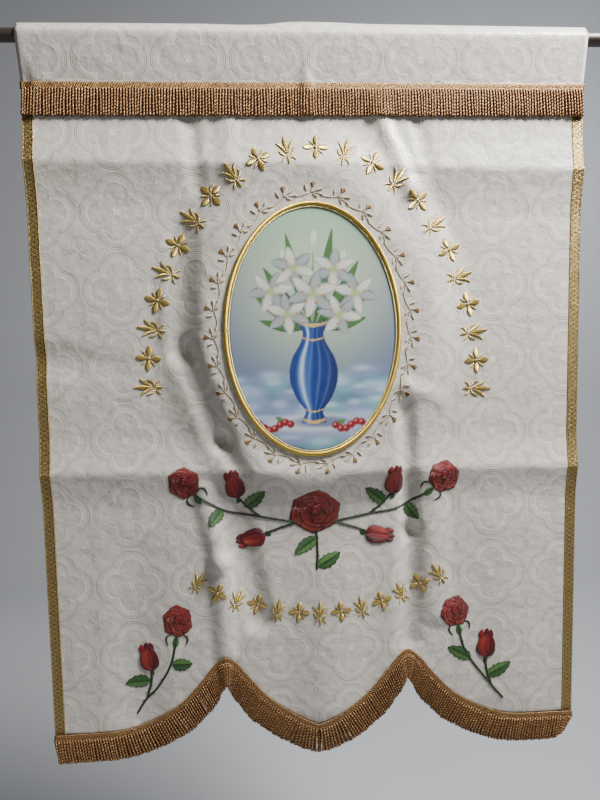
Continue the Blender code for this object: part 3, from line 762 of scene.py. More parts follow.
def over_rod(turn, side):
    """A row on the rod's round, front (side -1) or back (side 1). turn is the share of the way from the level
    of the rod's axis to where the cloth leaves the rod, and from 1 to 2 it runs on to the pressed crease."""

    def point(x):
        leave = math.radians(read_curve(SLEEVE_CREASE, x))
        stretched = x * (1 + SLEEVE_FLARE / HALF_WIDTH)
        angle = leave * min(1.0, turn)
        across, up = SLEEVE_RADIUS * math.cos(angle), SLEEVE_RADIUS * math.sin(angle)
        if turn > 1:
            crest = (SLEEVE_RADIUS - CREASE_HALF_WIDTH * math.cos(leave)) / math.sin(leave)
            across += (CREASE_HALF_WIDTH - across) * (turn - 1)
            up += (crest - up) * (turn - 1)
        return Vector((stretched, side * across, up))

    return point


def levels(low, high, step):
    """Evenly spaced heights from low to high."""
    count = round((high - low) / step)
    return [low + (high - low) * n / count for n in range(count + 1)]


def cloth_rows(step):
    """Every row of the cloth, from the cut edge up the front, over the rod and down to the sleeve's hem."""

    def panel_row(row_z):
        def point(x):
            z = row_z + read_line(LEVEL_SLOPES, row_z) * x
            return Vector((x, -proud(x, z), z))

        return point

    def hem_row(share):
        def point(x):
            z = hem_edge(x) + (SCALLOP_TOP_Z - hem_edge(x)) * share
            return Vector((x, -proud(x, z), z))

        return point

    hem = [hem_row(share) for share in levels(0.0, 1.0, step / (SCALLOP_TOP_Z - HEM_LOW_Z))[:-1]]
    panel = [panel_row(z) for z in levels(SCALLOP_TOP_Z, SEAM_Z, step)]
    turns = (0.0, 0.33, 0.66, 1.0, 1.5, 2.0)
    heights = levels(SEAM_Z, 0.0, step)[1:-1]
    sleeve = [sleeve_side(z, -1) for z in heights] + [over_rod(turn, -1) for turn in turns]
    back = [over_rod(turn, 1) for turn in reversed(turns)] + [sleeve_side(z, 1) for z in reversed(heights)]
    tail = [sleeve_side(z, 1) for z in levels(SEAM_Z - HEM_TAIL, SEAM_Z, step)[::-1]]
    return hem + panel, sleeve + back + tail


def make_cloth(looks):
    """The damask: one sheet from the scalloped hem over the rod to the sleeve's hem."""
    front, sleeve = cloth_rows(looks.cell)
    rows = front + sleeve
    columns = levels(-HALF_WIDTH, HALF_WIDTH, looks.cell)
    middle = [row(0.0) for row in rows]
    length = [0.0] * len(rows)
    for row in range(len(front), len(rows)):
        length[row] = length[row - 1] + (middle[row] - middle[row - 1]).length
    weaver = Weaver()

    def place(column, row):
        x = columns[column]
        point = rows[row](x)
        along = point.z if row < len(front) else SEAM_Z + looks.sleeve_shift + length[row]
        return point, (x, along, 0.0), (1.0, 1.0, 1.0)

    weaver.grid(len(columns) - 1, len(rows) - 1, place)
    cloth = shown("damask_cloth", weaver.mesh("damask_cloth"), damask(looks), ["banner_cloth"])
    return thicken(cloth, CLOTH_THICKNESS, 0.0)


def damask(looks):
    """White satin damask: ringed quatrefoils on a square repeat, with a flower and dotted blocks between."""
    finish = Finish("white damask", 0.37, 0.0, 0.6, 0.2, 0.4)
    thread = finish.attribute("thread")
    x, z, _ = finish.split(thread)
    half = looks.repeat / 2
    across = finish.math("PINGPONG", finish.minus(x, looks.repeat_x), half)
    up = finish.math("PINGPONG", finish.minus(z, looks.repeat_z), half)
    near, beside = finish.math("MAXIMUM", across, up), finish.math("MINIMUM", across, up)

    def reach(first, second):
        squares = finish.plus(finish.math("POWER", first, 2.0), finish.math("POWER", second, 2.0))
        return finish.math("SQRT", squares)

    def spot(distance, radius, soft):
        return finish.minus(1.0, finish.between(distance, radius - soft, radius + soft))

    from_lobe = finish.minus(near, LOBE_FROM_MIDDLE)
    lobe, middle = reach(from_lobe, beside), reach(near, beside)
    turn = finish.math("ARCTAN2", beside, from_lobe)
    wave = finish.math("COSINE", finish.times(turn, SCALLOPS))
    lines = [(finish.line(lobe, radius, half_width), weight) for radius, half_width, weight in LOBE_LINES]
    scallop = finish.line(finish.scaled(wave, SCALLOP_DEPTH, lobe), *SCALLOP_LINE)
    disc = spot(lobe, *DISC_SPOT)
    mottle = finish.noise(thread, 330.0, 2.0)
    petals = finish.math("COSINE", finish.times(turn, BLOSSOM_PETALS))
    blossom = spot(finish.scaled(petals, BLOSSOM_DEPTH, lobe), *BLOSSOM_SPOT)
    heart = finish.plus(finish.line(middle, *HEART_LINE), spot(middle, *HEART_SPOT))
    gap_across, gap_up = finish.minus(half, across), finish.minus(half, up)
    gap_near = finish.math("MAXIMUM", gap_across, gap_up)
    gap_beside = finish.math("MINIMUM", gap_across, gap_up)
    outside = finish.between(lobe, OUTSIDE_FROM, OUTSIDE_TO)
    arm_run = finish.math("DIVIDE", finish.minus(gap_near, ARM_MIDDLE), ARM_HALF_LENGTH)
    arm = spot(reach(arm_run, finish.math("DIVIDE", gap_beside, ARM_HALF_WIDTH)), 0.85, 0.15)
    arm = finish.times(arm, finish.between(mottle, 0.36, 0.60))
    dots = finish.times(*[finish.wave(side, DOT_PITCH) for side in (x, z)])
    block = spot(finish.math("ABSOLUTE", finish.minus(gap_near, BLOCK_AT[0])), *BLOCK_LONG_SPOT)
    block = finish.times(block, spot(finish.minus(gap_beside, BLOCK_AT[1]), *BLOCK_SHORT_SPOT))
    block = finish.times(finish.times(block, outside), finish.between(dots, -0.2, 0.5))
    grain = finish.noise(thread, 1400.0, 1.0)
    cloudy = finish.noise(thread, 9.0, 3.0)
    puckers = finish.noise(thread, looks.pucker_scale, 3.0)
    pattern = finish.total(
        *lines, (scallop, 0.42), (disc, -0.30), (blossom, 0.24), (heart, 0.28),
        (arm, -0.65), (block, -0.65), (outside, -0.10),
    )
    raised = finish.total((pattern, looks.relief), (grain, 0.00010), (puckers, looks.pucker_depth))
    finish.relief(raised, 1.0)
    tone = finish.total((pattern, 1.0), (cloudy, 0.30), (grain, 0.24))
    share = finish.scaled(tone, 0.50, 0.40)
    finish.colour(finish.blend(share, looks.shade, looks.silk))
    finish.roughness(finish.scaled(tone, -0.10, 0.37))
    return finish.material


# Fringes


def hem_places(count):
    """Places along x of the hem's strands, spaced evenly along the hem's curve."""
    xs = [HALF_WIDTH * (2 * n / HEM_FINE_STEPS - 1) for n in range(HEM_FINE_STEPS + 1)]
    lengths = [0.0]
    for before, after in pairwise(xs):
        lengths.append(lengths[-1] + math.hypot(after - before, hem_line(after) - hem_line(before)))
    wanted = [lengths[-1] * (n + 0.5) / count for n in range(count)]
    return list(np.interp(wanted, lengths, xs))


def top_strand(x, number):
    """Root and tip of a strand of the top fringe."""
    root_z, tip_z = SEAM_Z - HEADING_HEIGHT, SEAM_Z - FRINGE_HEIGHT + TIP_UNEVEN * uneven(number)
    spread = 1 + TOP_TIP_SPREAD / HALF_WIDTH
    root = Vector((x, front_y(x, root_z), root_z))
    tip = Vector((x * spread, min(root.y, front_y(x, tip_z)), tip_z))
    return root, tip


def hem_foot(x, drop=VISIBLE_FOOT):
    """A place on the lower line of the hem fringe's heading, or a strand's foot with a drop of 1."""
    out_x, out_z = hem_outward(x)
    off_cusp = math.tanh((abs(x) - CUSP_X) / CUSP_FEET_REACH) ** 2
    foot_x = x + HEADING_HEIGHT * out_x * off_cusp * FOOT_LEAN
    return foot_x, hem_line(x) + HEADING_HEIGHT * drop * min(out_z, -FOOT_LEAST_DROP)


def hem_strand(x, number):
    """Root and tip of a strand of the hem's fringe, which leans out from the slopes."""
    out_x, _ = hem_outward(x)
    foot_x, foot_z = hem_foot(x, 1.0)
    from_cusp = abs(foot_x) - CUSP_X
    side = 1 if foot_x > 0 else -1
    closing = CUSP_PULL * math.tanh(from_cusp / CUSP_REACH)
    pull = -side * closing * min(1.0, LEVEL_PULL_SHARE + SLOPE_PULL * abs(out_x))
    if abs(foot_x) < CUSP_X:
        pull *= min(1.0, abs(foot_x) / MIDDLE_LOBE_EASE)
    length = FRINGE_HEIGHT - HEADING_HEIGHT
    drop = math.sqrt(length**2 - pull**2) + TIP_UNEVEN * uneven(number)
    frayed = max(0.0, 1 - (HALF_WIDTH - x) / FRAYED_REACH)
    root = Vector((foot_x, front_y(foot_x, foot_z), foot_z))
    tip_x, tip_z = foot_x + pull - FRAYED_INWARD * frayed, foot_z - drop * (1 - FRAYED_SHORTER * frayed)
    return root, Vector((tip_x, root.y, tip_z))


def make_strands(strands, looks):
    """One mesh of twisted strands. Each runs from its root to its tip, and is round at its foot."""
    pattern = bmesh.new()
    bmesh.ops.create_cone(pattern, cap_ends=True, segments=6, radius1=1.0, radius2=1.0, depth=1.0)
    upright = [e for e in pattern.edges if abs(e.verts[0].co.z - e.verts[1].co.z) > 0.5]
    bmesh.ops.subdivide_edges(pattern, edges=upright, cuts=looks.rings - 1)
    pattern_mesh = finished_mesh(pattern, "one strand")
    shape, thread, tint = sewing_shape()
    for _ in strands:
        shape.from_mesh(pattern_mesh)
    bpy.data.meshes.remove(pattern_mesh)
    shape.verts.ensure_lookup_table()
    each = len(shape.verts) // len(strands)
    for number, (root, tip, off, tone, wide) in enumerate(strands):
        length = (tip - root).length
        bunches = [math.sin(2 * math.pi * root.x / pitch) for pitch in BUNCH_PITCHES]
        tip.x += looks.bunch * (bunches[0] + 0.5 * bunches[1])
        phase = looks.twist * ((math.sin(number * 12.99) * 43.7) % 1.0)
        lean = uneven(number * 3.1) * looks.sway
        for vertex in shape.verts[number * each:(number + 1) * each]:
            share = 0.5 - vertex.co.z
            turn = (math.atan2(vertex.co.y, vertex.co.x) - math.pi / 2 + 0.001) % (2 * math.pi) + math.pi / 2
            ring = round(share * looks.rings)
            swell = 1.0 + looks.swell * (-1) ** ring
            if ring == looks.rings - 1:
                swell, share = 1.16, 0.955
            if ring == looks.rings:
                swell = 0.70
            centre = root.lerp(tip, share)
            centre.x += lean * math.sin(math.pi * share)
            centre.y -= off + looks.belly * math.sin(math.pi * min(1.0, share * 1.2))
            vertex[thread] = (share * length + phase, turn / (2 * math.pi), number)
            # The tint holds the row's brightness: painted shadow on the row behind
            vertex[tint] = (tone, tone, tone, 1.0)
            vertex.co = centre + Vector((
                looks.strand_width / 2 * swell * wide * math.cos(turn),
                looks.strand_depth / 2 * swell * math.sin(turn),
                0.0,
            ))
    shape.normal_update()
    return finished_mesh(shape, "strands")


def heading(name, top, foot, looks):
    """The woven heading of a fringe: a strip with three low ribs between its top and foot lines."""
    count, ribs = HEADING_CELLS
    weaver = Weaver()

    def place(column, row):
        x = (HALF_WIDTH - 0.0005) * (2 * column / count - 1)
        share = row / ribs
        low, high = foot(x), top(x)
        across, up = low[0] + (high[0] - low[0]) * share, low[1] + (high[1] - low[1]) * share
        rise = FRINGE_THICKNESS * (1.15 + 0.12 * abs(math.cos(1.5 * math.pi * share)))
        forward = front_y(across, up) - over_braid(x) - rise
        return Vector((across, forward, up)), (x, share, 0.0), (1.0, 1.0, 1.0)

    weaver.grid(count, ribs, place)
    strip = shown(name, weaver.mesh(name), woven_gold(looks))
    return thicken(strip, FRINGE_THICKNESS / 2, -1.0)


def top_line(x):
    """A place on the upper line of the top fringe's heading."""
    return x, SEAM_Z


def top_foot(x):
    """A place on the lower line of the top fringe's heading."""
    return x, SEAM_Z - HEADING_HEIGHT * VISIBLE_FOOT


def hem_top(x):
    """A place on the upper line of the hem fringe's heading."""
    return x, hem_line(x)


def top_places(count):
    """Places along x of the top fringe's strands."""
    return [TOP_ROW_HALF * (2 * (n + 0.5) / count - 1) for n in range(count)]


def make_fringes(looks):
    """The two fringes, each a heading and two rows of strands. On the hem's slopes the strands are slimmer."""
    bullion = bullion_gold(looks)
    for name, node, count, strand, top, foot in (
        ("top", "top_fringe", looks.top_count, top_strand, top_line, top_foot),
        ("hem", "hem_fringe", looks.hem_count, hem_strand, hem_top, hem_foot),
    ):
        rows = []
        # tone darkens the row behind with painted shadow
        for layer, off, tone, wide in STRAND_ROWS:
            total = count + 1 - layer
            for number, x in enumerate(top_places(total) if name == "top" else hem_places(total)):
                root, tip = strand(x, number + ROW_SHIFT * layer)
                slimness = 1.0 if name == "top" else -HEM_STRAND_WIDER * hem_outward(x)[1]
                rows.append((root, tip, over_braid(x) + off, tone, wide * slimness))
        mesh = make_strands(rows, looks)
        shown(name + "_bullion", mesh, bullion, [node])
        heading(name + "_heading", top, foot, looks)


def bullion_gold(looks):
    """Gold bullion: slanted plies with painted shade in their hollows and on each strand's sides, and painted
    glints as bright specks.
    """
    finish = Finish("gold bullion", 0.46, 0.30)
    along, around, _ = finish.split(finish.attribute("thread"))
    turns = finish.plus(finish.math("DIVIDE", along, looks.twist), around)
    ply = finish.scaled(finish.wave(turns, 1.0), 0.5, 0.5)
    speckle = finish.noise(finish.object_place((1.0, 1.0, 0.45)), 620.0, 1.0)
    # The tint brings the painted shadow that darkens the row of strands behind
    tone = finish.split(finish.attribute("tint"))[0]
    # Painted shade on each strand's sides, with its front left lit
    aside = finish.times(finish.math("ABSOLUTE", finish.minus(around, 0.75)), 4.0)
    lit_front = finish.minus(1.0, finish.between(aside, 0.25, 0.95))
    tone = finish.times(tone, finish.scaled(lit_front, 0.85, 0.15))
    # Painted shade in the hollows between the plies
    body = finish.times(finish.total((ply, 0.60), (speckle, 0.60)), tone)
    # Painted glints: bright specks on the peaks of the plies
    lit = finish.between(finish.total((ply, 0.6), (speckle, 0.9)), 1.00, 1.16)
    colour = finish.blend(body, looks.shade_in_hollows, looks.gold)
    finish.colour(finish.blend(finish.times(lit, tone), colour, looks.painted_glint))
    finish.relief(ply, 0.0007)
    return finish.material


def woven_gold(looks):
    """The heading's weave of fine slanted gold loops, with painted shade in the weave's low parts, painted
    highlights as bright specks along its upper edge, and darker at its foot.
    """
    finish = Finish("woven gold", 0.42, 0.45)
    loops = finish.noise(finish.object_place(), 640.0, 1.0)
    along, share, _ = finish.split(finish.attribute("thread"))
    slant = finish.plus(along, finish.times(share, 0.004))
    rows = finish.wave(slant, HEADING_LOOP)
    # Painted highlight: bright specks along the upper edge
    edge = finish.times(finish.between(share, 0.84, 0.94), 0.25)
    foot = finish.minus(1.0, finish.between(share, 0.04, 0.20))
    weave = finish.scaled(rows, 0.16, loops)
    level = finish.minus(finish.between(weave, 0.32, 0.68), foot)
    # Painted shade in the weave's low parts
    colour = finish.blend(level, looks.shade_in_hollows, looks.weave)
    lit = finish.times(edge, finish.between(weave, 0.46, 0.58))
    finish.colour(finish.blend(lit, colour, looks.painted_glint))
    finish.relief(level, 0.0004)
    return finish.material


# Braids


def make_braid(looks, side, name, node):
    """A woven braid down one side: a cord at each edge and a zigzag of lozenges between them."""
    across = BRAID_CELLS
    foot = hem_line(HALF_WIDTH) - HEADING_HEIGHT / 2
    heights = levels(foot, BRAID_TOP_Z, looks.cell)
    middle = side * (HALF_WIDTH - BRAID_WIDTH / 2)
    weaver = Weaver()

    def place(column, row):
        share = 2 * column / across - 1
        x, z = middle + share * BRAID_WIDTH / 2, heights[row]
        zigzag = abs(2 * ((z / looks.lozenge) % 1.0) - 1)
        ridge = math.exp(-(((abs(share) / 0.74 - zigzag) / 0.20) ** 2))
        cord = math.sqrt(max(0.0, 1 - ((abs(share) - 0.88) / 0.12) ** 2))
        rise = BRAID_THICKNESS * (0.45 + max(0.40 * ridge, 0.75 * cord))
        if column in (0, across):
            rise = BRAID_THICKNESS * 0.35
        return on_cloth(x, z, rise), (share, z, 0.0), (1.0, 1.0, 1.0)

    weaver.grid(across, len(heights) - 1, place)
    braid = shown(name, weaver.mesh(name), braid_gold(looks), [node])
    thicken(braid, BRAID_THICKNESS / 3, -1.0)
    return braid


def braid_gold(looks):
    """Gold braid: cords at the edges and a zigzag lightened with painted highlight, the low ground darkened
    with painted shade, and painted glints.
    """
    finish = Finish("gold braid", 0.36, 0.7)
    share, along, _ = finish.split(finish.attribute("thread"))
    aside = finish.math("ABSOLUTE", share)
    zigzag = finish.math("DIVIDE", finish.math("PINGPONG", along, looks.lozenge / 2), looks.lozenge / 2)
    ridge = finish.line(finish.minus(finish.math("DIVIDE", aside, 0.74), zigzag), 0.0, 0.30)
    cord = finish.line(aside, 0.88, 0.13)
    slant = finish.plus(along, finish.times(share, 0.004))
    plies = finish.wave(slant, BRAID_PLY)
    # Painted glints scattered over the braid
    painted_glitter = finish.between(finish.noise(finish.object_place(), 700.0, 1.0), 0.42, 0.66)
    # Raised cords and ridges lighter and low ground darker: painted highlight and painted shade
    level = finish.total((ridge, 0.40), (cord, 0.50), (painted_glitter, 0.45), (plies, 0.08))
    finish.colour(finish.blend(level, looks.shade_in_hollows, looks.gold))
    finish.relief(level, 0.0005)
    return finish.material


# Oval picture and band


class Canvas:
    """Colours at the points of a picture, laid down shape by shape. Places are metres from its middle."""

    def __init__(self, x, z):
        self.x, self.z = x, z
        self.colour = np.zeros((*x.shape, 3))

    def wash(self, share, colour):
        """Lays a colour over the picture, as thick as its share at each point."""
        share = np.clip(share, 0.0, 1.0)[..., None]
        self.colour += (np.array(colour) - self.colour) * share

    def blob(self, place, size, colour, soft=0.3, strength=1.0, lean=0.0):
        """A round or oval spot with a soft rim."""
        turn = math.radians(lean)
        off_x, off_z = self.x - place[0], self.z - place[1]
        across = (off_x * math.cos(turn) + off_z * math.sin(turn)) / size[0]
        up = (off_z * math.cos(turn) - off_x * math.sin(turn)) / size[1]
        inside = 1 - np.hypot(across, up)
        share = np.clip(inside / soft + 0.5, 0.0, 1.0)
        self.wash(share * share * (3 - 2 * share) * strength, colour)

    def blade(self, start, end, half_width, light, dark, bend=0.0, belly=1.0, vein=0.35):
        """A leaf or petal from start to end, light in the middle and dark at its rim."""
        run = np.array(end) - np.array(start)
        length = math.hypot(*run)
        along_x, along_z = run / length
        off_x, off_z = self.x - start[0], self.z - start[1]
        share = (off_x * along_x + off_z * along_z) / length
        clipped = np.clip(share, 0.0, 1.0)
        side = off_x * along_z - off_z * along_x - bend * length * np.sin(np.pi * clipped)
        width = half_width * np.sin(np.pi * clipped ** (1 / belly)) ** 0.8
        edge = width - np.abs(side)
        cover = np.clip(edge / 0.0011 + 0.5, 0.0, 1.0) * ((share > 0) & (share < 1))
        depth = np.clip(np.abs(side) / np.maximum(width, 1e-6), 0.0, 1.0)
        tone = ((1 - depth**2.2) * (0.45 + 0.55 * np.sqrt(clipped)))[..., None]
        shade = np.array(dark) + (np.array(light) - np.array(dark)) * tone
        middle = np.exp(-((side / 0.0011) ** 2))[..., None] * vein
        shade = shade * (1 - middle * 0.5)
        self.colour += (shade - self.colour) * cover[..., None]


def paint_sky(canvas, tall):
    """A pale sky: mint above, lavender at the sides, a glow in the middle and clouds below."""
    up = canvas.z / tall
    canvas.wash(np.ones_like(up), (0.17, 0.25, 0.33))
    canvas.wash(up * 1.5 - 0.35, (0.25, 0.46, 0.35))
    canvas.wash(np.abs(canvas.x) / 0.15 - 0.25, (0.17, 0.19, 0.31))
    canvas.blob((0.0, 0.070), (0.110, 0.105), (0.56, 0.66, 0.44), 1.4, 0.80)
    canvas.wash(-up * 1.6 - 0.45, (0.10, 0.17, 0.33))
    for number in range(54):
        depth = number / 54
        place = (0.120 * math.sin(number * 2.4), -0.075 - 0.100 * depth + 0.012 * math.sin(number * 1.7))
        size = (0.026 + 0.008 * math.sin(number * 3.1), 0.013 + 0.004 * math.cos(number * 2.2))
        shadow, puff = CLOUD_BLUES if number % 3 else CLOUD_GREENS
        canvas.blob((place[0] + 0.003, place[1] - 0.008), size, shadow, 0.9, 0.55)
        canvas.blob(place, size, puff, 1.2, 0.50)
        crest = (place[0] - 0.004, place[1] + 0.005)
        canvas.blob(crest, (size[0] * 0.5, size[1] * 0.4), (0.62, 0.74, 0.84), 1.2, 0.40)


def paint_lily(canvas, middle, size, lean):
    """A white lily seen from the front: six petals, a green throat and rust-red stamens."""
    for ring, (light, dark) in enumerate(LILY_RINGS):
        for number in range(3):
            turn = math.radians(lean + 120 * number + 60 * ring)
            tip = (middle[0] + size * math.sin(turn), middle[1] + size * 0.92 * math.cos(turn))
            canvas.blade(middle, tip, size * 0.25, light, dark, 0.05 * math.sin(turn * 3), 1.15)
    canvas.blob(middle, (size * 0.15, size * 0.15), (0.40, 0.52, 0.16), 0.9, 0.9)
    for number in range(6):
        turn = math.radians(lean + 30 + 60 * number)
        tip = (middle[0] + size * 0.40 * math.sin(turn), middle[1] + size * 0.38 * math.cos(turn))
        canvas.blade(middle, tip, size * 0.022, (0.62, 0.66, 0.34), (0.45, 0.50, 0.22))
        canvas.blob(tip, (size * 0.055, size * 0.035), (0.46, 0.13, 0.02), 0.5, 1.0, math.degrees(turn))


def paint_vase(canvas):
    """A tall cobalt vase with a gilded rim, standing on a ledge of pale cloth."""
    canvas.blob((0.004, -0.150), (0.085, 0.020), (0.34, 0.40, 0.55), 0.6, 0.9)
    canvas.blob((0.0, -0.146), (0.075, 0.014), (0.66, 0.72, 0.80), 0.7, 0.9)
    canvas.blob((0.012, -0.145), (0.046, 0.009), (0.06, 0.10, 0.24), 0.9, 0.8)
    foot, top = VASE_PROFILE[0][0], VASE_PROFILE[-1][0]
    width = np.vectorize(lambda height: read_curve(VASE_PROFILE, height))(np.clip(canvas.z, foot, top))
    inside = np.clip((width - np.abs(canvas.x)) / 0.0012 + 0.5, 0.0, 1.0)
    inside *= (canvas.z > foot) & (canvas.z < top)
    across = np.clip(canvas.x / width, -1.0, 1.0)
    canvas.wash(inside, (0.010, 0.035, 0.210))
    canvas.wash(inside * np.exp(-(((across + 0.42) / 0.30) ** 2)) * 0.85, (0.040, 0.150, 0.480))
    for number in range(9):
        fold = np.exp(-(((across - 0.85 + 0.21 * number - 2.2 * (canvas.z + 0.075)) / 0.05) ** 2))
        canvas.wash(inside * fold * 0.45, ((0.005, 0.018, 0.120), (0.090, 0.240, 0.560))[number % 2])
    canvas.wash(inside * np.exp(-(((across + 0.50) / 0.10) ** 2)) * 0.75, (0.620, 0.780, 0.920))
    canvas.wash(inside * np.clip(across * 1.6 - 0.75, 0, 1), (0.008, 0.020, 0.110))
    for height, thick in ((0.0105, 0.0026), (-0.0125, 0.0013), (-0.1265, 0.0013), (-0.1430, 0.0026)):
        gilt = inside * (np.abs(canvas.z - height - 0.004 * (across**2 - 0.5)) < thick)
        canvas.wash(gilt * (1 - 0.5 * np.abs(across)), (0.72, 0.50, 0.14))


def paint_flowers(canvas):
    """The bunch: long leaves, buds and seven lilies, with red berries at the vase's foot."""
    for lean, reach, half in BUNCH_LEAVES:
        turn = math.radians(lean)
        tip = (reach * math.sin(turn), 0.008 + reach * math.cos(turn))
        canvas.blade((0.004 * math.sin(turn), 0.006), tip, half, (0.09, 0.24, 0.05), (0.01, 0.05, 0.02),
                     0.06 * math.sin(turn), 1.0, 0.7)
    paint_vase(canvas)
    for place, lean in BUNCH_BUDS:
        turn = math.radians(lean)
        base = (place[0] - 0.034 * math.sin(turn), place[1] - 0.034 * math.cos(turn))
        canvas.blade((0.0, 0.010), base, 0.0016, (0.12, 0.30, 0.07), (0.04, 0.14, 0.03))
        canvas.blade(base, place, 0.0078, (0.80, 0.84, 0.70), (0.34, 0.45, 0.26), 0.0, 0.85)
    for place, size, lean in BUNCH_LILIES:
        paint_lily(canvas, place, size, lean)
    for number in range(15):
        side = -1 if number % 2 else 1
        place = (side * (0.034 + 0.0042 * number), -0.151 + 0.006 * math.sin(number * 2.6))
        if number % 3 == 0:
            tip = (place[0] + side * 0.016, place[1] + 0.009)
            canvas.blade(place, tip, 0.0038, (0.14, 0.33, 0.09), (0.03, 0.12, 0.04))
        canvas.blob(place, (0.0062, 0.0062), (0.26, 0.008, 0.012), 0.35)
        canvas.blob((place[0] - 0.0015, place[1] + 0.0016), (0.0018, 0.0018), (0.85, 0.35, 0.30), 0.8, 0.8)


def make_picture(looks):
    """The printed satin oval: a blue vase of white lilies."""
    half_x, half_z = BAND_HALF_X - BAND_WIDTH - SEWN_GAP, BAND_HALF_Z - BAND_WIDTH - SEWN_GAP
    across, along = looks.picture_across, round(looks.picture_across * half_z / half_x)
    u, v = np.meshgrid(np.linspace(-1, 1, across + 1), np.linspace(-1, 1, along + 1))
    x, z = half_x * u * np.sqrt(1 - v**2 / 2), half_z * v * np.sqrt(1 - u**2 / 2)
    canvas = Canvas(x, z)
    paint_sky(canvas, half_z)
    paint_flowers(canvas)
    weaver = Weaver()

    def place(column, row):
        across_x, up_z = x[row, column], OVAL_CENTRE_Z + z[row, column]
        point = on_cloth(across_x, up_z, PICTURE_THICKNESS)
        return point, (across_x, up_z, 0.0), tuple(canvas.colour[row, column])

    weaver.grid(across, along, place)
    satin = printed_satin(looks)
    picture = shown("oval_print", weaver.mesh("oval_print"), satin, ["oval_picture"])
    thicken(picture, PICTURE_THICKNESS / 2, -1.0)
    return picture


def printed_satin(looks):
    """Printed satin: the painted colours under a faint weave and a soft gloss."""
    finish = Finish("printed satin", 0.40, 0.0, 0.4, 0.15, 0.4)
    place = finish.attribute("thread")
    grain = finish.noise(place, 1100.0, 1.0)
    soft = finish.noise(place, 60.0, 3.0)
    painted = finish.attribute("tint", "Color")
    faded = finish.blend(finish.times(soft, looks.print_fade), painted, (0.60, 0.64, 0.66))
    finish.colour(faded)
    finish.relief(grain, 0.00012)
    finish.roughness(finish.scaled(grain, 0.16, 0.34))
    return finish.material


def ring_of(shape, thread, tint, outset, width, crown, colour):
    """A ring that follows the oval's edge, flat under and crowned above."""
    made = bmesh.ops.create_circle(
        shape, segments=12, radius=0.5,
        matrix=Matrix.Translation((1.0, 0.0, 0.0)) @ Matrix.Rotation(math.radians(90), 4, "X"),
    )["verts"]
    edges = list({edge for vertex in made for edge in vertex.link_edges})
    start = len(shape.verts)
    bmesh.ops.spin(shape, geom=made + edges, cent=(0, 0, 0), axis=(0, 0, 1), steps=BAND_STEPS,
                   angle=2 * math.pi, use_merge=True)
    shape.verts.ensure_lookup_table()
    fresh = shape.verts[start - len(made):]
    half = width / 2
    for vertex in fresh:
        turn = math.atan2(vertex.co.y, vertex.co.x)
        across = (math.hypot(vertex.co.x, vertex.co.y) - 1.0) / 0.5
        up = max(-0.1, vertex.co.z / 0.5)
        inset = outset + half * (1 - across)
        x, z = (BAND_HALF_X - inset) * math.cos(turn), OVAL_CENTRE_Z + (BAND_HALF_Z - inset) * math.sin(turn)
        vertex.co = on_cloth(x, z, 0.0003 + crown * up)
        vertex[thread] = (turn * (BAND_HALF_X + BAND_HALF_Z) / 2, across, 0.0)
        vertex[tint] = (*colour, 1.0)


def make_band(looks):
    """The padded gold band with a pale piping inside it."""
    shape, thread, tint = sewing_shape()
    ring_of(shape, thread, tint, 0.0, PADDING_WIDTH, BAND_CROWN + TRIM_STANDOFF, looks.gold)
    ring_of(shape, thread, tint, PIPING_OUTSET, PIPING_WIDTH, PIPING_CROWN, looks.piping)
    bmesh.ops.recalc_face_normals(shape, faces=shape.faces)
    gold = stitched("band gold", looks.stitch, 0.34, 0.8)
    band = shown("padded_band", finished_mesh(shape, "padded_band"), gold, ["oval_band"])
    return band


def stitched(name, stitch, roughness, metallic, sheen=0.0):
    """Embroidery: tinted threads that lie side by side, with painted shade in the grooves between them."""
    finish = Finish(name, roughness, metallic, 0.5, sheen, 0.35)
    across, along, _ = finish.split(finish.attribute("thread"))
    threads = finish.scaled(finish.wave(across, stitch), 0.5, 0.5)
    fuzz = finish.noise(finish.object_place(), 900.0, 1.0)
    level = finish.total((threads, 0.6), (fuzz, 0.6))
    tint = finish.attribute("tint", "Color")
    # Painted shade: each thread darkens towards the grooves between the threads
    dark = finish.blend(0.45, tint, (0.0, 0.0, 0.0))
    finish.colour(finish.blend(level, dark, tint))
    finish.relief(level, 0.00035)
    return finish.material


# Gold ornament


def turned(middle, up):
    """Places a motif: its own (across, up) point becomes a point of the banner."""
    right = (up[1], -up[0])
    return lambda a, b: (middle[0] + right[0] * a + up[0] * b, middle[1] + right[1] * a + up[1] * b)


def pointing(base, tip):
    """Places a motif from its base towards its tip, and gives how far apart they are."""
    apart = math.dist(base, tip)
    return turned(base, ((tip[0] - base[0]) / apart, (tip[1] - base[1]) / apart)), apart


def gold_tint(looks):
    """Satin stitch in gold: a painted highlight on the swell, and dark at its rim."""

    def tint(share, side):
        # Painted highlight: the bright gold on the stitches' swell
        shade = mixed(looks.bright, looks.gold, abs(side) * 1.2)
        return mixed(shade, looks.rim, (abs(side) - 0.72) * 3.5)

    return tint


def floret(weaver, at, size, looks):
    """Four petals with a thin sepal between each two, and a small seed."""
    tint = gold_tint(looks)
    for number in range(4):
        turn = math.radians(90 * number)
        across, up = math.sin(turn), math.cos(turn)
        spine = straight(at(across * size * 0.12, up * size * 0.12), at(across * size, up * size))
        weaver.patch(spine, leaf_width(size * 0.25, 0.8, 0.85), tint, crown=0.0012, across=6)
        turn += math.radians(45)
        across, up = math.sin(turn), math.cos(turn)
        spine = straight(at(across * size * 0.18, up * size * 0.18), at(across * size * 0.80, up * size * 0.80))
        weaver.patch(spine, leaf_width(size * 0.075), tint, crown=0.0007, along=6)
    seed = straight(at(0.0, -size * 0.13), at(0.0, size * 0.13))
    weaver.patch(seed, leaf_width(size * 0.13, 0.5), tint, lift=0.0012, crown=0.0014)


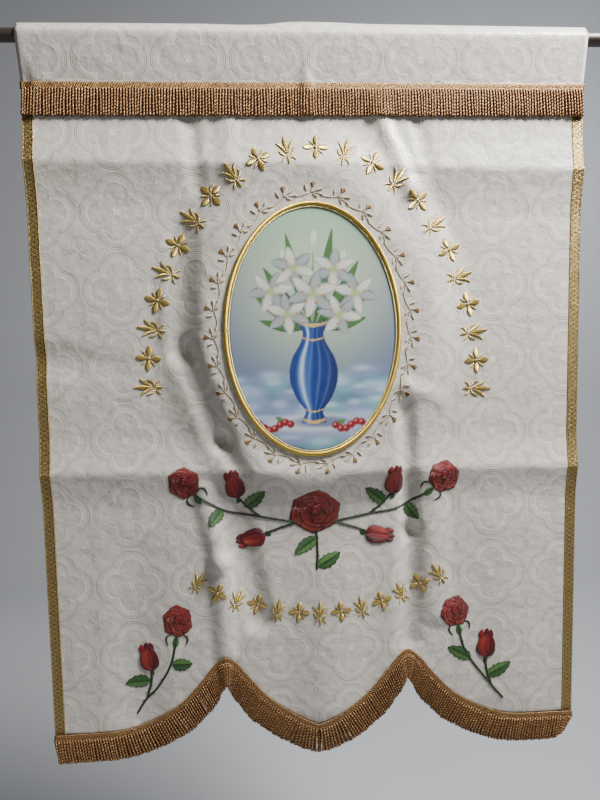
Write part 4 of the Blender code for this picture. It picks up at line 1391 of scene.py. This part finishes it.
def palmette(weaver, at, size, looks):
    """A pointed leaf between two pairs of leaves that curl away, over a small base."""
    tint = gold_tint(looks)
    spine = straight(at(0.0, -size * 0.30), at(0.0, size))
    weaver.patch(spine, leaf_width(size * 0.15, 0.9, 0.9), tint, crown=0.0012, across=6, along=10)
    for side in (-1, 1):
        upper = bow(at(side * size * 0.05, -size * 0.32), at(side * size * 0.22, size * 0.30),
                    at(side * size * 0.60, size * 0.58))
        lower = bow(at(side * size * 0.05, -size * 0.42), at(side * size * 0.50, -size * 0.30),
                    at(side * size * 0.48, size * 0.14))
        curl = bow(at(side * size * 0.04, -size * 0.52), at(side * size * 0.34, -size * 0.50),
                   at(side * size * 0.46, -size * 0.86))
        weaver.patch(upper, leaf_width(size * 0.105, 0.9), tint, crown=0.0010)
        weaver.patch(lower, leaf_width(size * 0.085, 0.9), tint, crown=0.0009)
        weaver.patch(curl, leaf_width(size * 0.065, 0.9), tint, crown=0.0008)
    base = straight(at(0.0, -size), at(0.0, -size * 0.36))
    weaver.patch(base, leaf_width(size * 0.10, 0.8), tint, crown=0.0010)


def along_arc(middle, half_x, half_z, start, end, count):
    """Evenly spaced places on an arc of an ellipse, each with the direction that points out of it."""
    fine = 720
    turns = [math.radians(start + (end - start) * n / fine) for n in range(fine + 1)]
    points = [(middle[0] + half_x * math.cos(t), middle[1] + half_z * math.sin(t)) for t in turns]
    lengths = [0.0]
    for before, after in pairwise(points):
        lengths.append(lengths[-1] + math.dist(before, after))
    found = []
    for number in range(count):
        turn = float(np.interp(lengths[-1] * number / max(1, count - 1), lengths, turns))
        out_x, out_z = math.cos(turn) / half_x, math.sin(turn) / half_z
        size = math.hypot(out_x, out_z)
        place = (middle[0] + half_x * math.cos(turn), middle[1] + half_z * math.sin(turn))
        found.append((place, (out_x / size, out_z / size)))
    return found


def make_ornament(looks):
    """Two rows of gold ornament: an arch over the oval, and a short arc under the roses."""
    gold = stitched("ornament gold", looks.stitch, 0.34, 0.75)
    arch = along_arc(ARCH_CENTRE, ARCH_HALF_X, ARCH_HALF_Z, ARCH_FROM, ARCH_TO, looks.arch_count)
    lower = along_arc(
        LOWER_ARC_CENTRE, LOWER_ARC_RADIUS, LOWER_ARC_RADIUS, LOWER_ARC_FROM, LOWER_ARC_TO, looks.lower_count
    )
    lower = [(place, (-out[0], -out[1])) for place, out in lower]
    for name, places, size in (
        ("arch_ornament", arch, looks.arch_size),
        ("lower_ornament", lower, looks.lower_size),
    ):
        weaver = Weaver()
        for number, (place, up) in enumerate(places):
            if number % 2:
                floret(weaver, turned(place, up), size * FLORET_SIZE, looks)
            else:
                palmette(weaver, turned(place, up), size, looks)
        row = shown(name, weaver.mesh(name), gold)
        thicken(row, EMBROIDERY_THICKNESS, -1.0)


def make_wreath(looks):
    """The leaf wreath round the oval: sprigs on a thin vine, each with leaves and a trumpet flower."""
    weaver = Weaver()
    vine_tint, flower_tint = plain(looks.vine), plain(looks.flower)

    def leaf_tint(share, side):
        return mixed(looks.leaf, looks.pale, (abs(side) - 0.55) * 5)

    def trumpet(share):
        return 0.0003 + 0.0017 * share

    ring = along_arc((0.0, OVAL_CENTRE_Z), VINE_HALF_X, VINE_HALF_Z, 90.0, -270.0, looks.sprigs + 1)
    for number, (place, out) in enumerate(ring[:-1]):
        at = turned(place, out)
        for start, control, end in WREATH_VINES:
            line = bow(at(*start), at(*control), at(*end))
            weaver.patch(line, leaf_width(0.0008, 0.3), vine_tint, crown=0.0003, across=2)
        for start, control, end in WREATH_LEAVES:
            ease = 1 + 0.10 * uneven(number * 1.7 + start[0] * 900)
            tip = at(start[0] + (end[0] - start[0]) * ease, start[1] + (end[1] - start[1]) * ease)
            line = bow(at(*start), at(*control), tip)
            weaver.patch(line, leaf_width(0.0021, 0.8), leaf_tint, crown=0.0005, along=6)
        for side in (-1, 0, 1):
            petal = straight(at(0.0025, 0.0060), at(0.0045 + side * 0.0026, 0.0155 - 0.0010 * abs(side)))
            weaver.patch(petal, trumpet, flower_tint, crown=0.0005, along=6, across=2)
    gold = stitched("wreath gold", looks.stitch, 0.42, 0.4)
    wreath = shown("leaf_wreath", weaver.mesh("leaf_wreath"), gold)
    return thicken(wreath, WREATH_THICKNESS, -1.0)


# Roses


def smooth_path(points):
    """A curve through the points of a stem, as a spine."""
    ends = [points[0], *points, points[-1]]
    pieces = list(zip(ends, ends[1:], ends[2:], ends[3:]))

    def spine(share):
        place = min(0.99999, max(0.0, share)) * len(pieces)
        before, start, end, after = pieces[int(place)]
        far = place - int(place)
        near = 1 - far
        return tuple(
            near * near * (1 + 2 * far) * a + far * far * (3 - 2 * far) * b
            + far * near * near * (b - before[axis]) / 2 - far * far * near * (after[axis] - a) / 2
            for axis, (a, b) in enumerate(zip(start, end))
        )

    return spine


def petal_tint(tone, looks, streaks=5):
    """A petal's silk: deep at its foot, lit towards its lip, and outlined in dark thread."""
    foot, lip = {
        "edge": (looks.rose_deep, looks.rose_edge),
        "bright": (looks.rose_deep, looks.rose_bright),
        "deep": (looks.rose_dark, looks.rose_deep),
    }[tone]

    def tint(share, side):
        shade = mixed(foot, lip, (share - 0.15) * 1.25)
        shade = mixed(shade, foot, 0.45 * (0.5 + 0.5 * math.sin(side * streaks + share * 7)))
        rim = max((abs(side) - 0.80) * 5, (share - 0.90) * 10)
        return mixed(shade, looks.outline, rim)

    return tint


def rose(weaver, x, z, half_x, half_z, lean, looks):
    """An open rose: rings of fanned petals with turned-over lips round a coiled heart."""
    across, along = 12, 9

    def at(turn, reach, inwards):
        middle_z = z + half_z * 0.14 * inwards
        return x + half_x * reach * math.sin(turn), middle_z + half_z * reach * math.cos(turn)

    for ring, (count, reach, bright, offset) in enumerate(ROSE_RINGS):
        inwards = ring / (len(ROSE_RINGS) - 1)
        for number in range(count):
            turn = lean + 2 * math.pi * (number + offset) / count
            low = 0.5 - 0.5 * math.cos(turn)
            lip = mixed(looks.rose_deep, looks.rose_edge, bright * (0.25 + 0.75 * low**1.5))
            foot = mixed(looks.rose_dark, looks.rose_deep, 0.25 + 0.5 * low * bright)
            spread = math.pi / count * (1.36 + 0.12 * uneven(number + ring * 1.7))
            far = reach * (1 + 0.04 * uneven(number * 2.3 + ring + lean))
            point = 0.10 * math.sin(number * 1.9 + ring)

            def petal(column, row):
                side, share = 2 * column / across - 1, row / along
                tip = 0.09 * math.exp(-(((side - point) / 0.16) ** 2))
                outer = far * (1.02 - 0.17 * side**4 + tip)
                way = 0.10 + (outer - 0.10) * share
                angle = turn + spread * side * (0.85 + 0.15 * share)
                rise = 0.0006 + 0.0004 * ring + 0.00035 * side + 0.0006 * math.sin(math.pi * share)
                streak = 0.5 + 0.5 * math.sin(side * 7 + share * 5 + number)
                shade = mixed(foot, lip, share * 1.35 - 0.35 - 0.22 * streak)
                turned_over = math.exp(-(((share - 0.84) / 0.06) ** 2))
                shade = mixed(shade, looks.rose_lip, 0.42 * bright * turned_over)
                rim = max((abs(side) - 0.86) * 7, (share - 0.93) * 16)
                threads = (angle * way * half_x, way * half_x, 0.0)
                return on_cloth(*at(angle, way, inwards), rise), threads, mixed(shade, looks.outline, rim)

            weaver.grid(across, along, petal)

    def coil(share):
        turn = lean + 5.0 * math.pi * share
        return at(turn, 0.24 * (1 - share) + 0.015, 1.0)

    heart = petal_tint("bright", looks, 2)
    weaver.patch(coil, leaf_width(half_x * 0.05, 0.3), heart, 0.0030, 0.0006, 40, 4, True)


def calyx(weaver, at, half_x, half_z, looks):
    """The green cup of a rose and two sepals that curl down from it, towards the stem at the lower end."""
    cup = straight(at(0.0, -half_z * 0.78), at(-half_x * 0.12, -half_z * 1.75))
    weaver.patch(cup, leaf_width(half_x * 0.24, 0.9, 0.7), plain(looks.leaf_mid), 0.0003, 0.0006, 10, 6)
    for side in (-1, 1):
        curl = bow(at(side * half_x * 0.25, -half_z * 0.86), at(side * half_x * 1.05, -half_z * 0.90),
                   at(side * half_x * 0.58, -half_z * 1.60))
        weaver.patch(curl, leaf_width(0.0019, 0.6, 0.8), plain(looks.sepal), 0.0003, 0.0006, 10, 4)


def bud(weaver, base_x, base_z, tip_x, tip_z, half_width, looks):
    """A closed rose: an egg-shaped body of two wrapped petals, with three curled lobes at its top."""
    at, length = pointing((base_x, base_z), (tip_x, tip_z))

    def place(across, along):
        return at(across * half_width, along * length)

    def egg(share):
        return half_width * read_curve(BUD_PROFILE, share)

    def wrap(petals):
        for start, control, end, width, tone, lift in petals:
            spine = bow(place(*start), place(*control), place(*end))
            around = leaf_width(half_width * width, 0.6, 0.9)
            weaver.patch(spine, around, petal_tint(tone, looks), lift, 0.0008, 12, 8, True)

    cup = bow(place(0.0, 0.08), place(0.30, -0.06), place(-0.10, -0.20))
    weaver.patch(cup, leaf_width(0.0036, 0.8, 0.7), plain(looks.leaf_dark), 0.0003, 0.0006)
    wrap(BUD_BACK_PETALS)
    body = straight(place(0.0, 0.0), place(0.02, 0.84))
    weaver.patch(body, egg, petal_tint("bright", looks), 0.0010, 0.0012, 16, 12, True)
    wrap(BUD_FRONT_PETALS)


def leaf(weaver, base_x, base_z, tip_x, tip_z, half_width, looks):
    """A serrated leaf with one light and one dark half."""
    lean = half_width * 0.25

    def serrated(share):
        teeth = 0.88 + 0.30 * ((share * 4.5) % 1.0)
        return half_width * math.sin(math.pi * share**0.80) ** 0.70 * teeth

    def tint(share, side):
        half = looks.leaf_light if side < 0 else looks.leaf_mid
        vein = 0.5 + 0.5 * math.sin(2 * math.pi * (share * 5 - abs(side) * 1.2))
        shade = mixed(half, looks.leaf_dark, 0.55 * vein)
        dark = max((abs(side) - 0.80) * 6, 1 - abs(side) * 9, (share - 0.92) * 12)
        return mixed(shade, looks.outline_green, dark)

    at, length = pointing((base_x, base_z), (tip_x, tip_z))
    spine = bow(at(0.0, 0.0), at(lean, length * 0.5), at(0.0, length))
    weaver.patch(spine, serrated, tint, 0.0006, 0.0006, 36, 12)


def stem(weaver, points, looks):
    """A dark green stem with small thorns."""
    spine = smooth_path(points)

    def tint(share, side):
        return mixed(looks.stem, looks.stem_light, 0.5 - side * 0.8)

    def half_width(share):
        return STEM_HALF_WIDTH * min(1.0, (share * 40) ** 0.5, ((1 - share) * 40) ** 0.5)

    weaver.patch(spine, half_width, tint, 0.0005, 0.0009, 30, 4, True)
    for number, share in enumerate((0.22, 0.41, 0.60, 0.78)):
        at, _ = pointing(spine(share), spine(share + 0.03))
        side = 1 if number % 2 else -1
        thorn = straight(at(side * 0.0008, 0.0), at(side * 0.0042, 0.0018))
        weaver.patch(thorn, lambda share: 0.0012 * (1 - share), plain(looks.stem), 0.0005, 0.0005, 3, 2)


def mirrored(spray):
    """A spray's tables turned over to the left."""
    return {
        "roses": tuple((-x, *rest) for x, *rest in spray["roses"]),
        "buds": tuple((-x, z, -tip_x, tip_z, width) for x, z, tip_x, tip_z, width in spray["buds"]),
        "leaves": tuple((-x, z, -tip_x, tip_z, width) for x, z, tip_x, tip_z, width in spray["leaves"]),
        "stems": tuple(tuple((-x, z) for x, z in points) for points in spray["stems"]),
    }


def make_roses(looks):
    """The three sprays of roses."""
    silk = stitched("rose silk", looks.stitch, 0.5, 0.0, 0.08)
    for name, node, sprays in (
        ("roses_middle", "rose_spray_middle", (MIDDLE_SPRAY, mirrored(MIDDLE_SPRAY), MIDDLE_OWN)),
        ("roses_left", "rose_spray_left", (LEFT_SPRAY,)),
        ("roses_right", "rose_spray_right", (SIDE_SPRAY,)),
    ):
        weaver = Weaver()
        stems, leaves, buds, roses = (
            [row for spray in sprays for row in spray[part]] for part in ("stems", "leaves", "buds", "roses")
        )
        for points in stems:
            stem(weaver, points, looks)
        for row in leaves:
            leaf(weaver, *row, looks)
        for row in buds:
            bud(weaver, *row, looks)
        ends = [points[end] for points in stems for end in (0, -1)]
        for row in roses:
            x, z, half_x, half_z = row
            if row not in MIDDLE_OWN["roses"]:
                near = min(ends, key=lambda point: math.dist(point, (x, z)))
                up = (Vector((x, z)) - Vector(near)).normalized()
                calyx(weaver, turned((x, z), tuple(up)), half_x, half_z, looks)
            rose(weaver, *row, ROSE_LEAN * x, looks)
        spray = shown(name, weaver.mesh(name), silk, [node])
        thicken(spray, EMBROIDERY_THICKNESS, -1.0)


# Rod


def make_rod(looks):
    """Gives the rod its dark varnished wood."""
    finish = Finish("rod wood", 0.38, 0.0, 0.5)
    place = finish.object_place((3.0, 60.0, 60.0))
    grain = finish.noise(place, 2.2, 5.0)
    pores = finish.between(finish.noise(finish.object_place((12.0, 400.0, 400.0)), 1.5, 2.0), 0.50, 0.72)
    shade = finish.blend(grain, looks.dark, looks.light)
    finish.colour(finish.blend(finish.times(pores, 0.5), shade, (0.012, 0.008, 0.007)))
    finish.roughness(finish.scaled(grain, 0.25, 0.28))
    finish.relief(finish.total((grain, 0.7), (pores, -0.3)), 0.0002)
    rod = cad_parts["rod"]
    rod.data.materials.clear()
    rod.data.materials.append(finish.material)


# Stage


def area_light(name, place, target, size, watts, colour):
    """A square soft light."""
    lamp = bpy.data.lights.new(name, "AREA")
    lamp.size = size
    lamp.energy = watts
    lamp.color = colour
    made = bpy.data.objects.new(name, lamp)
    made.location = place
    made.rotation_euler = (Vector(target) - Vector(place)).to_track_quat("-Z", "Y").to_euler()
    bpy.context.scene.collection.objects.link(made)


def make_stage(looks):
    """The floor that curves up into a backdrop, the lights and the camera."""
    shape = bmesh.new()
    bmesh.ops.create_grid(shape, x_segments=2, y_segments=2, size=0.5)
    for vertex in shape.verts:
        vertex.co = (vertex.co.x * 16, vertex.co.y * 8 - 2.0 + looks.wall_y - 2.0, looks.floor_z)
    back = max(vertex.co.y for vertex in shape.verts)
    rim = [edge for edge in shape.edges if all(abs(vertex.co.y - back) < 1e-6 for vertex in edge.verts)]
    rim_points = list({vertex for edge in rim for vertex in edge.verts})
    bmesh.ops.spin(
        shape, geom=rim + rim_points, cent=(0, back, looks.floor_z + looks.cove), axis=(1, 0, 0),
        steps=16, angle=math.radians(90),
    )
    top = max(vertex.co.z for vertex in shape.verts)
    upper = [edge for edge in shape.edges if all(abs(vertex.co.z - top) < 1e-6 for vertex in edge.verts)]
    raised = bmesh.ops.extrude_edge_only(shape, edges=upper)["geom"]
    bmesh.ops.translate(shape, verts=[v for v in raised if isinstance(v, bmesh.types.BMVert)], vec=(0, 0, 5.0))
    bmesh.ops.recalc_face_normals(shape, faces=shape.faces)
    mesh = finished_mesh(shape, "floor")
    mesh.shade_smooth()
    floor = bpy.data.objects.new("floor", mesh)
    bpy.context.scene.collection.objects.link(floor)
    plaster = Finish("pale plaster", 0.85)
    mottle = plaster.noise(plaster.object_place(), 3.0, 4.0)
    plaster.colour(plaster.blend(mottle, looks.floor_colour, [0.94 * part for part in looks.floor_colour]))
    mesh.materials.append(plaster.material)

    area_light("key", (0.98, -0.50, 0.90), (0.0, 0.0, -0.5), 0.45, looks.key_watts, (1.0, 0.985, 0.965))
    area_light("fill", (-0.6, -2.2, -0.3), (0.0, 0.0, -0.55), 1.6, looks.fill_watts, (1.0, 0.95, 0.88))
    area_light("wall light", (2.2, 0.9, 0.9), (1.2, 2.6, 0.6), 0.8, looks.wall_watts, (0.97, 0.98, 1.0))
    world = bpy.data.worlds.new("studio")
    world.use_nodes = True
    background = world.node_tree.nodes["Background"]
    background.inputs[0].default_value = (*looks.world_colour, 1.0)
    background.inputs[1].default_value = looks.world_strength
    bpy.context.scene.world = world

    camera = bpy.data.objects.new("camera", bpy.data.cameras.new("camera"))
    bpy.context.scene.collection.objects.link(camera)
    turn = Matrix((CAMERA_RIGHT, CAMERA_UP, [-part for part in CAMERA_FORWARD])).transposed().to_4x4()
    camera.matrix_world = Matrix.Translation(CAMERA_PLACE) @ turn
    camera.data.sensor_width = SENSOR_MM
    camera.data.lens = FOCAL_PIXELS / PHOTO_HEIGHT * SENSOR_MM
    bpy.context.scene.camera = camera


# Settings


def length(name, description, default):
    """A length in metres."""
    return FloatProperty(name=name, description=description, default=default, unit="LENGTH", precision=5)


def how_many(name, description, default):
    """A whole number of pieces."""
    return IntProperty(name=name, description=description, default=default, min=1)


def factor(name, description, default):
    """A plain number."""
    return FloatProperty(name=name, description=description, default=default)


def colour(name, description, default):
    """A linear colour."""
    return FloatVectorProperty(
        name=name, description=description, default=default, subtype="COLOR", min=0.0, max=1.0
    )


class ClothLooks(PropertyGroup):
    """Sizes and colours of the damask."""

    cell: length("Mesh cell", "Size of the cloth's mesh cells", 0.0055)
    repeat: length("Repeat", "Distance between the middles of two quatrefoils", 0.120)
    repeat_x: length("Repeat's x", "x of the middle of one quatrefoil", 0.2955)
    repeat_z: length("Repeat's z", "z of the middle of one quatrefoil", -0.744)
    sleeve_shift: length("Sleeve's shift", "How far the pattern is shifted on the sleeve", 0.012)
    relief: length("Relief", "Depth of the woven relief", 0.00022)
    pucker_scale: factor("Puckers", "Puckers in a metre of the cloth", 34.0)
    pucker_depth: length("Pucker depth", "Depth of the small puckers", 0.0022)
    silk: colour("Silk", "The bright yarn of the damask", (0.92, 0.875, 0.80))
    shade: colour("Shade", "The yarn seen in the pattern's lines", (0.42, 0.385, 0.34))


class FringeLooks(PropertyGroup):
    """Sizes and colours of the fringes."""

    top_count: how_many("Top strands", "Strands in a row of the top fringe", 196)
    hem_count: how_many("Hem strands", "Strands in a row of the hem's fringe", 236)
    rings: how_many("Rings", "Rings of faces along a strand", 7)
    strand_width: length("Strand's width", "Width of a strand", 0.0028)
    strand_depth: length("Strand's depth", "Depth of a strand", 0.0028)
    swell: factor("Swell", "How much a strand's width comes and goes", 0.06)
    sway: length("Sway", "How far a strand bows sideways", 0.0006)
    belly: length("Belly", "How far a strand bows forward", 0.0006)
    bunch: length("Bunching", "How far the tips lean together in bunches", 0.0010)
    twist: length("Twist", "Length of one turn of the plies", 0.0050)
    gold: colour("Gold", "The gold thread", (0.44, 0.205, 0.066))
    # Painted glints: the bright specks on the bullion and along the heading's upper edge
    painted_glint: colour("Specks", "The brightest thread", (0.96, 0.72, 0.36))
    weave: colour("Heading", "The gold of the heading", (0.46, 0.255, 0.088))
    # Painted shade: the dark colour in the hollows between the plies and in the weave's low parts
    shade_in_hollows: colour("Hollow", "The gold between the plies", (0.060, 0.020, 0.008))


class BraidLooks(PropertyGroup):
    """Sizes and colours of the side braids."""

    cell: length("Mesh cell", "Length of the braid's mesh cells", 0.0013)
    lozenge: length("Lozenge", "Length of one lozenge of the weave", 0.0078)
    gold: colour("Gold", "The lit gold thread", (0.76, 0.58, 0.24))
    # Painted shade: the dark colour of the braid's low ground, under the lit gold of its raised parts
    shade_in_hollows: colour("Hollow", "The dark ground", (0.15, 0.095, 0.03))


class OvalLooks(PropertyGroup):
    """Sizes and colours of the picture and its band."""

    picture_across: how_many("Picture cells", "Mesh cells across the picture", 168)
    print_fade: factor("Fade", "How far the print is faded in patches", 0.04)
    stitch: length("Stitch", "Distance between two threads of the band", 0.0011)
    gold: colour("Gold", "The band's gold", (0.74, 0.52, 0.10))
    piping: colour("Piping", "The pale inner piping", (0.82, 0.70, 0.36))


class OrnamentLooks(PropertyGroup):
    """Sizes and colours of the gold ornament and the wreath."""

    arch_count: how_many("Arch motifs", "Motifs in the arch", 23)
    lower_count: how_many("Lower motifs", "Motifs in the lower arc", 13)
    arch_size: length("Arch motif", "Half height of a motif of the arch", 0.0242)
    lower_size: length("Lower motif", "Half height of a motif of the lower arc", 0.0210)
    sprigs: how_many("Sprigs", "Sprigs round the oval", 27)
    stitch: length("Stitch", "Distance between two threads", 0.0009)
    # Painted highlight on the swell of the gold stitches
    bright: colour("Bright gold", "Gold on the swell of the stitches", (0.95, 0.74, 0.24))
    gold: colour("Gold", "Gold of the stitches", (0.62, 0.40, 0.07))
    rim: colour("Rim", "Gold at the stitches' ends", (0.24, 0.13, 0.02))
    vine: colour("Vine", "Thread of the vine", (0.46, 0.36, 0.24))
    leaf: colour("Leaves", "Thread of the wreath's leaves", (0.20, 0.14, 0.065))
    pale: colour("Leaf rims", "Pale thread round the wreath's leaves", (0.80, 0.70, 0.50))
    flower: colour("Flower heads", "Thread of the wreath's flower heads", (0.26, 0.155, 0.05))


class RoseLooks(PropertyGroup):
    """Sizes and colours of the rose sprays."""

    stitch: length("Stitch", "Distance between two threads", 0.0008)
    rose_edge: colour("Outer petals", "Silk at the lips of the outer petals", (0.56, 0.060, 0.030))
    rose_lip: colour("Lips", "Silk of the turned-over lips", (0.62, 0.13, 0.10))
    rose_bright: colour("Petals", "Silk at the lips of the inner petals", (0.40, 0.022, 0.024))
    rose_deep: colour("Deep petals", "Silk at the petals' feet", (0.20, 0.006, 0.012))
    rose_dark: colour("Heart", "Silk of the heart", (0.085, 0.003, 0.008))
    outline: colour("Outline", "Dark thread round the petals", (0.020, 0.003, 0.005))
    leaf_light: colour("Light leaf", "Silk of a leaf's light half", (0.13, 0.30, 0.07))
    leaf_mid: colour("Mid leaf", "Silk of a leaf's other half", (0.050, 0.155, 0.035))
    leaf_dark: colour("Dark leaf", "Silk of a leaf's veins", (0.018, 0.075, 0.018))
    outline_green: colour("Leaf outline", "Dark thread round the leaves", (0.006, 0.020, 0.008))
    sepal: colour("Sepals", "Silk of the sepals", (0.014, 0.040, 0.018))
    stem: colour("Stem", "Dark side of the stems", (0.008, 0.018, 0.008))
    stem_light: colour("Stem's light side", "Light side of the stems", (0.035, 0.075, 0.025))


class RodLooks(PropertyGroup):
    """Colours of the rod."""

    dark: colour("Dark wood", "The wood's dark grain", (0.030, 0.020, 0.017))
    light: colour("Light wood", "The wood's light grain", (0.085, 0.060, 0.050))


class StageLooks(PropertyGroup):
    """Floor, backdrop and lights."""

    floor_z: length("Floor", "Height of the floor", -1.75)
    wall_y: length("Backdrop", "Where the floor starts to curve up", 2.2)
    cove: length("Cove", "Radius of the curve between floor and backdrop", 1.0)
    floor_colour: colour("Floor", "Colour of the floor and backdrop", (0.50, 0.52, 0.55))
    key_watts: factor("Key", "Power of the key light", 112.0)
    fill_watts: factor("Fill", "Power of the fill light", 1.8)
    wall_watts: factor("Wall light", "Power of the light on the backdrop", 60.0)
    world_colour: colour("Ambient", "Colour of the ambient light", (0.56, 0.52, 0.48))
    world_strength: factor("Ambient strength", "Strength of the ambient light", 0.09)


class BannerLooks(PropertyGroup):
    """All of the banner's settings."""

    cloth: PointerProperty(type=ClothLooks, name="Cloth", description="The damask")
    fringe: PointerProperty(type=FringeLooks, name="Fringe", description="The fringes")
    braid: PointerProperty(type=BraidLooks, name="Braid", description="The side braids")
    oval: PointerProperty(type=OvalLooks, name="Oval", description="The picture and its band")
    ornament: PointerProperty(type=OrnamentLooks, name="Ornament", description="Gold ornament and wreath")
    roses: PointerProperty(type=RoseLooks, name="Roses", description="The rose sprays")
    rod: PointerProperty(type=RodLooks, name="Rod", description="The rod")
    stage: PointerProperty(type=StageLooks, name="Stage", description="Floor, lights and camera")


# Operators


class BANNER_OT_stage(Operator):
    """Adds the floor, the lights and the camera"""

    bl_idname = "banner.add_stage"
    bl_label = "Add stage"

    def execute(self, context):
        make_stage(context.scene.banner_looks.stage)
        return {"FINISHED"}


class BANNER_OT_cloth(Operator):
    """Adds the damask cloth in its folds"""

    bl_idname = "banner.add_cloth"
    bl_label = "Add cloth"

    def execute(self, context):
        make_cloth(context.scene.banner_looks.cloth)
        return {"FINISHED"}


class BANNER_OT_fringes(Operator):
    """Adds the two bullion fringes with their headings"""

    bl_idname = "banner.add_fringes"
    bl_label = "Add fringes"

    def execute(self, context):
        make_fringes(context.scene.banner_looks.fringe)
        return {"FINISHED"}


class BANNER_OT_braids(Operator):
    """Adds the braids down both sides"""

    bl_idname = "banner.add_braids"
    bl_label = "Add braids"

    def execute(self, context):
        looks = context.scene.banner_looks.braid
        make_braid(looks, -1, "side_braid_left", "braid_left")
        make_braid(looks, 1, "side_braid_right", "braid_right")
        return {"FINISHED"}


class BANNER_OT_oval(Operator):
    """Adds the printed oval and its padded band"""

    bl_idname = "banner.add_oval"
    bl_label = "Add oval"

    def execute(self, context):
        looks = context.scene.banner_looks.oval
        make_picture(looks)
        make_band(looks)
        return {"FINISHED"}


class BANNER_OT_ornament(Operator):
    """Adds the gold ornament and the leaf wreath"""

    bl_idname = "banner.add_ornament"
    bl_label = "Add ornament"

    def execute(self, context):
        looks = context.scene.banner_looks.ornament
        make_wreath(looks)
        make_ornament(looks)
        return {"FINISHED"}


class BANNER_OT_roses(Operator):
    """Adds the three sprays of roses"""

    bl_idname = "banner.add_roses"
    bl_label = "Add roses"

    def execute(self, context):
        make_roses(context.scene.banner_looks.roses)
        return {"FINISHED"}


class BANNER_OT_rod(Operator):
    """Gives the rod its wood"""

    bl_idname = "banner.finish_rod"
    bl_label = "Finish rod"

    def execute(self, context):
        make_rod(context.scene.banner_looks.rod)
        return {"FINISHED"}


class BANNER_PT_looks(Panel):
    """Lists the banner's settings and its operators"""

    bl_label = "Church banner"
    bl_idname = "BANNER_PT_looks"
    bl_space_type = "VIEW_3D"
    bl_region_type = "UI"
    bl_category = "Banner"

    def draw(self, context):
        looks = context.scene.banner_looks
        for part, operator in (
            ("stage", BANNER_OT_stage),
            ("rod", BANNER_OT_rod),
            ("cloth", BANNER_OT_cloth),
            ("braid", BANNER_OT_braids),
            ("fringe", BANNER_OT_fringes),
            ("oval", BANNER_OT_oval),
            ("ornament", BANNER_OT_ornament),
            ("roses", BANNER_OT_roses),
        ):
            box = self.layout.box()
            group = getattr(looks, part)
            for setting in group.__annotations__:
                box.prop(group, setting)
            box.operator(operator.bl_idname)


CLASSES = (
    ClothLooks,
    FringeLooks,
    BraidLooks,
    OvalLooks,
    OrnamentLooks,
    RoseLooks,
    RodLooks,
    StageLooks,
    BannerLooks,
    BANNER_OT_stage,
    BANNER_OT_cloth,
    BANNER_OT_fringes,
    BANNER_OT_braids,
    BANNER_OT_oval,
    BANNER_OT_ornament,
    BANNER_OT_roses,
    BANNER_OT_rod,
    BANNER_PT_looks,
)


def register():
    """Registers the classes and the settings."""
    for one in CLASSES:
        bpy.utils.register_class(one)
    bpy.types.Scene.banner_looks = PointerProperty(type=BannerLooks)


def unregister():
    """Takes the settings and the classes away."""
    del bpy.types.Scene.banner_looks
    for one in reversed(CLASSES):
        bpy.utils.unregister_class(one)


def main():
    """Adds every piece and the stage."""
    register()
    bpy.ops.banner.finish_rod()
    bpy.ops.banner.add_cloth()
    bpy.ops.banner.add_braids()
    bpy.ops.banner.add_fringes()
    bpy.ops.banner.add_oval()
    bpy.ops.banner.add_ornament()
    bpy.ops.banner.add_roses()
    bpy.ops.banner.add_stage()


if __name__ == "__main__":
    main()
